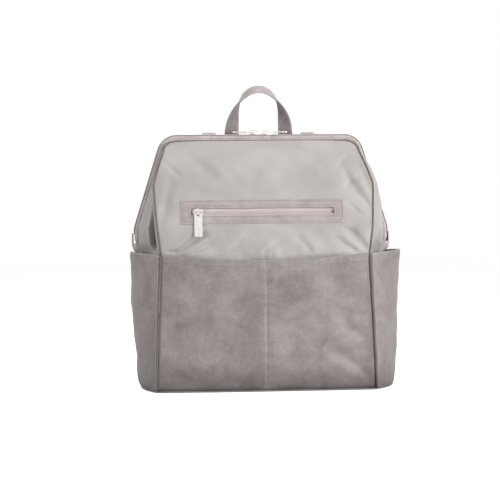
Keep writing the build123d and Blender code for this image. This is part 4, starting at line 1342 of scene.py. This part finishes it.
def back_depth(x, z):
    """How far the quilted skin sits below the back's face."""
    def groove(distance):
        return np.exp(-np.abs(distance / 4.4) ** 1.5)
    edge = np.minimum(back_half(z) - np.abs(x), np.minimum(z - 3.0, 352.0 - z))
    seams = 0.0
    for level in QUILT_Z:
        seams = np.maximum(seams, groove(z - quilt_z(level, x)) * ramp(118 - np.abs(x), 0, 8))
    for line_x in QUILT_X:
        ends = ramp(z, 62, 72) * (1 - ramp(z, 318, 328))
        seams = np.maximum(seams, groove(x - line_x) * ends)
    seams = np.maximum(seams, groove(x) * ramp(z, 206, 216) * (1 - ramp(z, 304, 312)))
    depth = 1.9 * (1 - ramp(edge, 2, 20)) + 2.5 * seams - 0.5 * waves(x, z, 46.0, 111)
    return np.maximum(depth, -0.1)


def back_skin():
    share, z = grid(np.linspace(-1, 1, 170), np.linspace(3.0, 346.2, 190))
    x = share * back_half(z)
    surface, _ = on_back(x, z, -back_depth(x, z))
    # lip over to the rear channel: half width, y, z
    stations = ((130.4, 34.2, 347.9), (129.6, 32.6, 349.0), (128.8, 31.2, 349.9))
    lip = np.stack([xyz(share[:, 0] * half, y, z) for half, y, z in stations], 1)
    shape = sheet(np.concatenate([surface, lip], 1), 1.5, (0, 1, 0.3))
    add("back_skin", shape, NYLON_LINED, "nylon", "back_panel")


def back_quilting():
    x = np.linspace(-116, 116, 140)
    runs = [(x, quilt_z(level, x)) for level in QUILT_Z]
    runs += [(np.full(150, x), np.linspace(72, 316, 150)) for x in QUILT_X]
    runs.append((np.zeros(60), np.linspace(218, 310, 60)))
    lines = [on_back(x, z, 0.15 - back_depth(x, z)) for x, z in runs]
    add("back_quilting", stitches(lines), [THREAD_NYLON], "webbing")


def back_padding():
    """Foam with the dark lining over it."""
    share, z = grid(np.linspace(-1, 1, 60), np.linspace(7.0, 334.0, 90))
    surface, _ = on_back(share * (back_half(z) - 7.0), z, -4.2)
    add("back_padding", sheet(surface, 5.0, (0, 1, 0.3), inner_slot=1), [FOAM, LINING], "foam",
        "back_foam")


def luggage_sleeve():
    """Band sewn down both sides, open above and below."""
    x, z = grid(np.linspace(-140, 140, 120), np.linspace(100, 186, 44))
    hem = np.minimum(z - 100, 186 - z)
    side = 140 - np.abs(x)
    y = 89.4 + 0.28 * waves(x, z, 70.0, 121) * ramp(side, 0, 12)
    y = y + 0.35 * (1 - ramp(hem, 9.5, 10.3)) - 0.3 * bell(hem, 2.2, 0.8)
    y = y - 0.3 * bell(hem, 8.4, 0.8) - 0.35 * (1 - ramp(side, 0.0, 3.5))
    add("luggage_sleeve", sheet(xyz(x, y, z), 1.0, BACK), [LEATHER], "leatherette",
        "trolley_sleeve")
    for row_z in (102.2, 108.4, 177.6, 183.8):
        threads.append((xyz(np.linspace(-137, 137, 120), 89.62, row_z), BACK))
    for row_x in (-136.5, 136.5):
        threads.append((xyz(row_x, 89.5, np.linspace(101, 185, 40)), BACK))


# ---- shoulder straps ----
def box_middle(node, axis):
    low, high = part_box(NODES[node]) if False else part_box(node)
    return float(np.mean([low[axis] / MM, high[axis] / MM]))


ADJUSTER_X = box_middle("right_adjuster", 0)
PAD_OUT = 10.0                          # the pad's middle, out from the back's face
PAD_SEAMS = (196.0, 252.0, 306.0)       # heights of the cross seams
PAD_EDGE = 5.2                          # side seams, in from the edge
# x, z, half width, from the top down
PAD = spline([
    (76.0, 339.0, 14.0), (76.5, 322.0, 19.0), (77.0, 298.0, 21.6), (80.0, 262.0, 22.0),
    (82.5, 228.0, 22.0), (86.0, 192.0, 22.0), (ADJUSTER_X, 168.0, 21.0),
    (ADJUSTER_X, 157.0, 18.0), (ADJUSTER_X, 151.2, 14.5)], 90)
PAD_Z, PAD_HALF = PAD[:, 1], PAD[:, 2]


def pad_at(z, values):
    return np.interp(z, PAD_Z[::-1], values[::-1])


def keep_off_back(points):
    """Holds swollen points between the back and the pad's greatest thickness."""
    z = np.clip(points[:, 2], 145.0, 346.0)
    y, normals = back_frame(z)
    out = (points[:, 1] - y) * normals[:, 1] + (points[:, 2] - z) * normals[:, 2]
    return points + normals * (np.clip(out, 6.3, 14.2) - out)[:, None]


def strap_pad(sign, side):
    pad_x = PAD[:, 0] * sign
    share, z = grid(np.linspace(-1, 1, 25), PAD_Z)
    middle, normals = on_back(pad_x + share * PAD_HALF, z, PAD_OUT)
    fat = 2.7 * (1 - np.abs(share) ** 4) ** 0.5
    fat = fat * (0.55 + 0.45 * ramp(np.minimum(340 - z, z - 150), 0, 14)) + 0.5
    outer, inner = middle + normals * fat[..., None], middle - normals * fat[..., None]
    pad = make(side + "_pad",
               skin([np.vstack([outer[:, k], inner[::-1, k]]) for k in range(len(PAD_Z))]),
               [NYLON])
    inflate(pad, voxel=4.0, pressure=4.0, most=1.6, frames=20, limit=keep_off_back)
    subdivide(pad)
    # a sewn channel down each edge and the cross seams, pressed in after the swelling
    points = get_points(pad)
    x, y, z = points.T
    face_y, normals = back_frame(np.clip(z, 140, 346))
    out = (y - face_y) * normals[:, 1]
    edge = pad_at(z, PAD_HALF) - np.abs(x - pad_at(z, pad_x))
    press = 1.1 * bell(edge, PAD_EDGE, 1.7)
    for seam in PAD_SEAMS:
        press = np.maximum(press, 1.2 * bell(z, seam, 2.0) * ramp(edge, 4.0, 6.0))
    set_points(pad, points - normals * (press * np.sign(out - PAD_OUT))[:, None])
    attach(pad, "nylon", side + "_strap_pad", body=side + "_strap")


def pad_binding(sign, side):
    part = slice(2, -3)
    pad_x, z, half = PAD[part, 0] * sign, PAD_Z[part], PAD_HALF[part]
    edges = [on_back(pad_x + way * (half + 0.1), z, PAD_OUT)[0] for way in (-1, 1)]
    turn = np.linspace(0, math.pi, 9)[1:-1]
    bottom, _ = on_back(PAD[-1, 0] * sign - np.cos(turn) * 14.8, 151.4 - np.sin(turn) * 0.6,
                        PAD_OUT)
    path = resample(np.vstack([edges[0], bottom, edges[1][::-1]]), 220)
    add(side + "_pad_binding", tube(path, 1.75, seed=14, up=(0, 1, 0.1), wobble=0.04), [PIPING],
        "piping", body=side + "_strap")


def pad_stitches(sign, side):
    part = slice(4, -5)
    pad_x = PAD[:, 0] * sign
    lines = []
    for face in (1, -1):
        runs = [(pad_x[part] + way * (PAD_HALF[part] - PAD_EDGE), PAD_Z[part], 2.35)
                for way in (-1, 1)]
        for seam in PAD_SEAMS:
            centre, half = pad_at(seam, pad_x), pad_at(seam, PAD_HALF) - 6
            runs.append((np.linspace(centre - half, centre + half, 20), np.full(20, seam), 2.45))
        for x, z, lift in runs:
            line, normals = on_back(x, z, PAD_OUT + face * lift)
            lines.append((line, normals * face))
    add(side + "_pad_stitches", stitches(lines), [THREAD_NYLON], "webbing",
        body=side + "_strap")


def strap_webbing(sign, side):
    """The loop holding the ladder lock, and the webbing threaded through the lock."""
    body = side + "_strap"
    x = sign * ADJUSTER_X
    y = box_middle(side + "_adjuster", 1)
    bar = 2.7                            # the webbing's middle, out from a bar's middle
    turn = np.linspace(0, math.pi, 14)
    path = [(x, y - bar, 149.0), (x, y - bar, 145.0)]
    path += [(x, y - bar * math.cos(a), 140.0 - bar * math.sin(a)) for a in turn]
    path += [(x, y + bar, 145.0), (x, y + bar, 149.0)]
    add(side + "_lock_loop", ribbon(resample(np.array(path), 34), 24.4, 1.4), [WEBBING],
        "webbing", side + "_strap_loop", body=body)

    # the tail hangs behind, goes up and over the bar, and down in front to the lower tab
    tail = [(x, y + 4.7, 85.5), (x, y + 4.3, 100.0), (x, y + 3.3, 118.0), (x, y + bar, 127.5)]
    tail += [(x, y + bar * math.cos(a), 131.0 + bar * math.sin(a))
             for a in np.linspace(0, math.pi, 12)]
    tail += [(x, y - bar, 127.0), (x, y - 2.75, 118.0)]
    end_x = sign * 118.0
    down = spline([
        (x, y - 2.75, 118.0), (x + sign * 7.0, y - 2.0, 96.0), (x + sign * 16.5, y - 1.6, 70.0),
        (end_x - sign * 2.5, 93.6, 44.0), (end_x, 92.6, 34.0), (end_x, 92.6, 22.0),
        (end_x, 92.6, 9.5)], 60)
    path = resample(np.vstack([resample(np.array(tail), 60), down[1:]]), 150)
    # split where the front run passes this height
    wrong_run = 1000.0 * (path[:, 1] > y) + 1000.0 * (np.arange(len(path)) < 60)
    cut = int(np.argmin(np.abs(path[:, 2] - 92.0) + wrong_run))
    to_lock = (body, side + "_adjuster", (0, 0, 94 * MM), (0, 0, 122 * MM))
    to_bag = ("bag_body", body, (0, 0, 30 * MM), (0, 0, 86 * MM))
    add(side + "_webbing", ribbon(path[:cut + 1], 24.6, 1.35), [WEBBING], "webbing",
        side + "_strap_webbing", body=to_lock)
    add(side + "_webbing_low", ribbon(path[cut - 2:], 24.5, 1.3), [WEBBING], "webbing",
        body=to_bag)
    fold = np.array([(x, y + 5.7, 84.6), (x, y + 5.4, 92.0), (x, y + 5.1, 97.5)])
    add(side + "_webbing_fold", ribbon(resample(fold, 12), 24.2, 1.0), [WEBBING], "webbing",
        body=to_lock)


def strap_anchors():
    """The sewn loops the straps start from, showing above the back."""
    # y, z
    line = spline([
        (45.6, 323.5), (41.0, 336.0), (38.3, 346.0), (38.8, 356.0), (41.6, 362.6),
        (45.0, 360.0), (46.9, 350.0), (47.6, 345.5)], 50)
    shapes = [ribbon(xyz(sign * 72.0, line[:, 0], line[:, 1]), 19.6, 1.5) for sign, _ in SIDES]
    add("strap_anchor_loops", join(shapes), [LEATHER_BAND], "leatherette", "strap_top_anchors")


def lower_tabs():
    """Tabs the webbing is sewn to, low on the back."""
    corners = np.array([(92, 5), (144, 5), (144, 30), (128, 40), (100, 40), (92, 30)], float)
    outline = np.vstack([np.linspace(a, b, 10, endpoint=False)
                         for a, b in zip(corners, np.roll(corners, -1, 0))])
    for _ in range(3):      # soften the corners
        outline = (np.roll(outline, 1, 0) + 2 * outline + np.roll(outline, -1, 0)) / 4
    # inset, y
    stations = ((26, 88.5), (1.0, 88.5), (0.0, 89.2), (0.0, 90.4), (0.8, 91.1), (2.2, 90.85),
                (3.2, 91.2), (9, 91.3), (24, 91.3))
    cross = np.array([(109, 12), (127, 12), (127, 28), (109, 28), (109, 12), (127, 28),
                      (127, 12), (109, 28)], float)
    tabs = []
    for sign, _ in SIDES:
        rings = []
        for inset, y in stations:
            ring = shrunk(outline, inset, least=0.05)
            rings.append(xyz(sign * ring[:, 0], y, ring[:, 1]))
        tabs.append(skin(rings))
        for line, y in ((closed(shrunk(outline, 2.3, least=0.05)), 91.0), (cross, 93.35)):
            threads.append((xyz(sign * line[:, 0], y, line[:, 1]), BACK))
    add("lower_strap_tabs", join(tabs), [LEATHER], "leatherette", "strap_lower_tabs")


# ---- grab handle ----
HANDLE_Y, HANDLE_FOOT_Z, HANDLE_TOP_Z = 40.0, 351.0, 424.0
HANDLE_LEAN = 0.25            # towards the front, per unit of rise
HANDLE_FOOT_X = 40.0
HANDLE_STATIONS = 120
HANDLE_BLEND = ("bag_body", "handle", (0, HANDLE_Y * MM, 350.0 * MM),
                (0, HANDLE_Y * MM, 366 * MM))


def handle_frames():
    """The handle's middle line, its axis across the strap and its axis through it."""
    power = 0.8
    n = HANDLE_STATIONS
    height = HANDLE_TOP_Z - HANDLE_FOOT_Z
    angle = np.linspace(0, math.pi, n)
    rise = height * np.sin(angle) ** power
    path = resample(xyz(-39.2 * np.cos(angle), HANDLE_Y - HANDLE_LEAN * rise,
                        HANDLE_FOOT_Z + rise), n)
    share = np.clip((path[:, 2] - HANDLE_FOOT_Z) / height, 0, 1) ** (1 / power)
    tangent = unit(np.gradient(path, axis=0))
    tangent[0] = unit(np.array([0.03, -HANDLE_LEAN, 1.0]))
    tangent[-1] = unit(np.array([0.03, HANDLE_LEAN, -1.0]))
    # flat along x at the feet, turned over at the top
    turn = share ** 0.85
    half = np.where(np.arange(n) < n / 2, 1.0, -1.0)
    across = np.stack([half * (1 - turn), turn * 0.80, turn * 0.58], 1)
    across = unit(across - tangent * (tangent * across).sum(1, keepdims=True))
    return path, across, np.cross(tangent, across)


def handle_width(f):
    return 21.6 - 2.6 * np.sin(math.pi * f) ** 0.6


def handle_section(f, _):
    arch = math.sin(math.pi * f)
    width = 21.6 - 2.6 * arch ** 0.6
    crown = 0.5 * arch
    section = ribbon_section(width, 2.7, 17, crown=crown)
    # grooves along the stitched edges
    edge = np.abs(section[:, 0]) / (width / 2)
    face = np.sign(section[:, 1] - crown * (1 - edge ** 2))
    section[:, 1] -= face * 0.22 * bell(edge, 0.80, 0.06)
    return section


def handle():
    path, across, through = handle_frames()
    ob = add("grab_handle", sweep(path, across, through, handle_section),
             [LEATHER_HANDLE, HANDLE_SHADED], "leatherette", "top_handle", body=HANDLE_BLEND)
    # the inner face gets the darker copy of the leatherette: painted shade
    points = get_points(ob)
    for polygon in ob.data.polygons:
        centre = points[list(polygon.vertices)].mean(0)
        k = int(np.argmin(((path - centre) ** 2).sum(1)))
        if (centre - path[k]) @ through[k] < 0.2:
            polygon.material_index = 1

    lines = []
    for face in (1, -1):
        for way in (-1, 1):
            k = np.arange(4, 116)
            off = way * handle_width(k / (HANDLE_STATIONS - 1.0)) / 2 * 0.80
            lines.append((path[k] + across[k] * off[:, None] + through[k] * (face * 1.22),
                          through[k] * face))
    # two short rows across each foot
    off = np.linspace(-8.2, 8.2, 14)[:, None]
    for rows in ((9, 11), (110, 108)):
        for face in (1, -1):
            for k in rows:
                lines.append((path[k] + across[k] * off + through[k] * face * 1.32,
                              through[k] * face))
    add("handle_stitches", stitches(lines, pitch=3.0, length=2.2, radius=0.30),
        [THREAD_NYLON], "webbing", body=HANDLE_BLEND)


def handle_feet():
    """Patches on the back below the handle's ends, sewn with a crossed square."""
    square = np.array([(-8, 326), (8, 326), (8, 341), (-8, 341), (-8, 326), (8, 341),
                       (8, 326), (-8, 341)], float)
    feet = []
    for sign, _ in SIDES:
        middle = sign * HANDLE_FOOT_X
        x, z = grid(np.linspace(-10.7, 10.7, 12) + middle, np.linspace(322.5, 348.5, 14))
        y, normals = back_frame(np.minimum(z, 346.0))
        surface = xyz(x, y, z) + normals * 2.2
        surface[..., 1] = np.where(z > 344, np.maximum(surface[..., 1], 39.3), surface[..., 1])
        feet.append(sheet(surface, 1.7, (0, 1, 0.3)))
        threads.append(on_back(square[:, 0] + middle, square[:, 1], 2.25))
    add("handle_feet", join(feet), [LEATHER_BAND], "leatherette", "handle_ends")


# ---- lining and inner pocket ----
def lining_ring(z, inset=0.0):
    ring = resample(closed(round_rect(284.0, 152.0, 14.0, 10)), 201)[:-1]
    x, y = ring.T
    # wider at the sides, more so higher up, and narrower high up at the front
    widen = (6.0 + 8.0 * ramp(z, 150, 199)) * np.clip(1 - (y / 76.0) ** 2, 0, 1)
    x = x + np.sign(x) * widen * (np.abs(x) > 120)
    x = x * (1 - 0.13 * ramp(z, 110, 176) * ramp(-y, -10, 50))
    slack = np.abs(0.8 * waves(x + y, np.full(len(x), z), 60.0, 131))
    ring = np.stack([x, y], 1)
    ring = ring - unit(ring) * (slack[:, None] + inset)
    return xyz(ring[:, 0], ring[:, 1], z)


def inside_lining():
    walls = np.linspace(9.0, 198.6, 48)
    # z, inset: up the outside, then down the inside
    stations = [(5.4, 40), (5.3, 3.0), (6.4, 0.6)] + [(z, 0.0) for z in walls]
    stations += [(z, 0.9) for z in walls[::-1]] + [(7.2, 1.6), (6.4, 4.0), (6.2, 40)]
    add("inside_lining", skin([lining_ring(*station) for station in stations]), [LINING],
        "lining", "lining")


def inner_pocket():
    """Slack pocket on the inner rear wall, gathered by an elastic along its top."""
    def scallop(x):
        return np.abs(np.sin((x + 110) / 220 * 3 * math.pi))
    x, z = grid(np.linspace(-110, 110, 90), np.linspace(52, 171, 60))
    y = 72.0 - 3.0 * ramp(z, 70, 168) * scallop(x) ** 0.8 + 0.4 * waves(x, z, 30.0, 141)
    add("inside_pocket", sheet(xyz(x, y, z), 0.8, FRONT), [LINING], "lining",
        "inner_rear_pocket")
    x, z = grid(np.linspace(-109, 109, 260), np.linspace(164, 172.5, 8))
    y = 71.0 - 3.0 * scallop(x) ** 0.8 + 0.35 * np.sin(x * 2 * math.pi / 4.2)
    add("inside_elastic", sheet(xyz(x, y, z), 1.1, FRONT), [ELASTIC], "elastic",
        "inner_pocket_elastic")


# ---- floor, light, camera (metres) ----
def floor():
    """Matt grey ground that glows a little to the camera only."""
    m = Shader("floor")
    seen = m.node("ShaderNodeLightPath").outputs["Is Camera Ray"]
    glow = m.node("ShaderNodeMapRange", {"Value": seen, "To Max": 0.78}).outputs["Result"]
    tone = m.remap(m.noise(3.0, detail=2.0), span=(0.3, 0.7))
    m.set(Base_Color=m.mix(tone, (0.60, 0.60, 0.60, 1), (0.63, 0.63, 0.63, 1)),
          Roughness=0.9, Specular_IOR_Level=0.0, Emission_Color=(1.0, 1.0, 1.0, 1.0),
          Emission_Strength=glow)
    size, z = 9000, -0.05
    corners = [(-size, -size, z), (size, -size, z), (size, size, z), (-size, size, z)]
    make("floor", (corners, [(0, 1, 2, 3)], None), [m.material])


def studio_world(scene):
    """White to the camera, dim as a light, brighter in reflections."""
    world = bpy.data.worlds.new("studio")
    scene.world = world
    world.use_nodes = True
    nodes, links = world.node_tree.nodes, world.node_tree.links
    background = nodes["Background"]
    background.inputs[0].default_value = (1.0, 1.0, 1.0, 1)
    rays = nodes.new("ShaderNodeLightPath")
    strength = nodes.new("ShaderNodeMapRange")
    strength.inputs["To Min"].default_value = 0.34
    strength.inputs["To Max"].default_value = 0.90
    links.new(rays.outputs["Is Glossy Ray"], strength.inputs["Value"])
    brightest = nodes.new("ShaderNodeMath")
    brightest.operation = "MAXIMUM"
    links.new(strength.outputs["Result"], brightest.inputs[0])
    links.new(rays.outputs["Is Camera Ray"], brightest.inputs[1])
    links.new(brightest.outputs[0], background.inputs[1])


def area(scene, name, place, target, width, height, power):
    light = bpy.data.lights.new(name, "AREA")
    light.shape = "RECTANGLE"
    light.size = width
    light.size_y = height
    light.energy = power
    light.color = (1, 1, 1)
    ob = bpy.data.objects.new(name, light)
    scene.collection.objects.link(ob)
    ob.location = place
    ob.rotation_euler = (Vector(target) - Vector(place)).to_track_quat("-Z", "Y").to_euler()


# name, place, target, width, height, power
LIGHTS = (
    ("key", (1.0, -1.5, 1.9), (0, 0, 0.22), 0.7, 0.7, 9.0),
    ("front_right", (1.1, -1.85, 0.42), (0.02, 0, 0.13), 0.45, 0.7, 16),
    ("side_left", (-1.7, -1.2, 0.42), (0, 0, 0.13), 0.6, 0.8, 11),
    ("side_right", (1.9, -0.7, 0.75), (0, 0, 0.2), 0.6, 1.3, 15),
    ("top", (-0.3, 0.2, 2.2), (0, 0, 0.3), 1.2, 1.2, 9),
    ("back", (0.2, 1.9, 1.3), (0, 0, 0.25), 1.4, 1.4, 14))


def camera(scene):
    turn, tilt, roll = math.radians(-3.6), math.radians(0.7), math.radians(0.6)
    distance = 2.0
    aside, height = -0.0164, 0.1927       # where it aims
    lens = bpy.data.cameras.new("camera")
    lens.sensor_width = 36.0
    lens.lens = 100.8
    lens.clip_start, lens.clip_end = 0.05, 60
    ob = bpy.data.objects.new("camera", lens)
    scene.collection.objects.link(ob)
    target = Vector((math.cos(turn), math.sin(turn), 0)) * aside + Vector((0, 0, height))
    away = Vector((math.sin(turn) * math.cos(tilt), -math.cos(turn) * math.cos(tilt),
                   math.sin(tilt)))
    ob.location = target + away * distance
    ob.rotation_mode = "QUATERNION"
    ob.rotation_quaternion = (-away).to_track_quat("-Z", "Y") @ Quaternion((0, 0, 1), -roll)
    scene.camera = ob


def each_side(*pieces):
    """Builds all the given pieces for the left, then for the right."""
    for sign, side in SIDES:
        for piece in pieces:
            piece(sign, side)


dress_cad_parts()
lower_front()
upper_front()
each_side(front_corner, upper_piping, rear_corner)
each_side(side_wall, side_pocket, pocket_inside, lower_piping)
base()
mouth_band()
mouth_teeth()
mouth_stitching()
mouth_shadow_bead()
end_tabs()
each_side(leg_cap)
zip_patch()
pocket_zip()
front_pocket_bag()
back_skin()
back_quilting()
back_padding()
luggage_sleeve()
each_side(strap_pad, pad_binding, pad_stitches, strap_webbing)
strap_anchors()
lower_tabs()
handle()
handle_feet()
inside_lining()
inner_pocket()
add("seam_stitches", stitches(threads), [THREAD], "webbing")
add("upper_stitches", stitches(mouth_threads), [THREAD_NYLON], "webbing", body=MOUTH_BLEND)

SCENE = bpy.context.scene
SCENE.view_settings.view_transform = "Standard"
SCENE.view_settings.look = "None"
floor()
studio_world(SCENE)
for light_row in LIGHTS:
    area(SCENE, *light_row)
camera(SCENE)
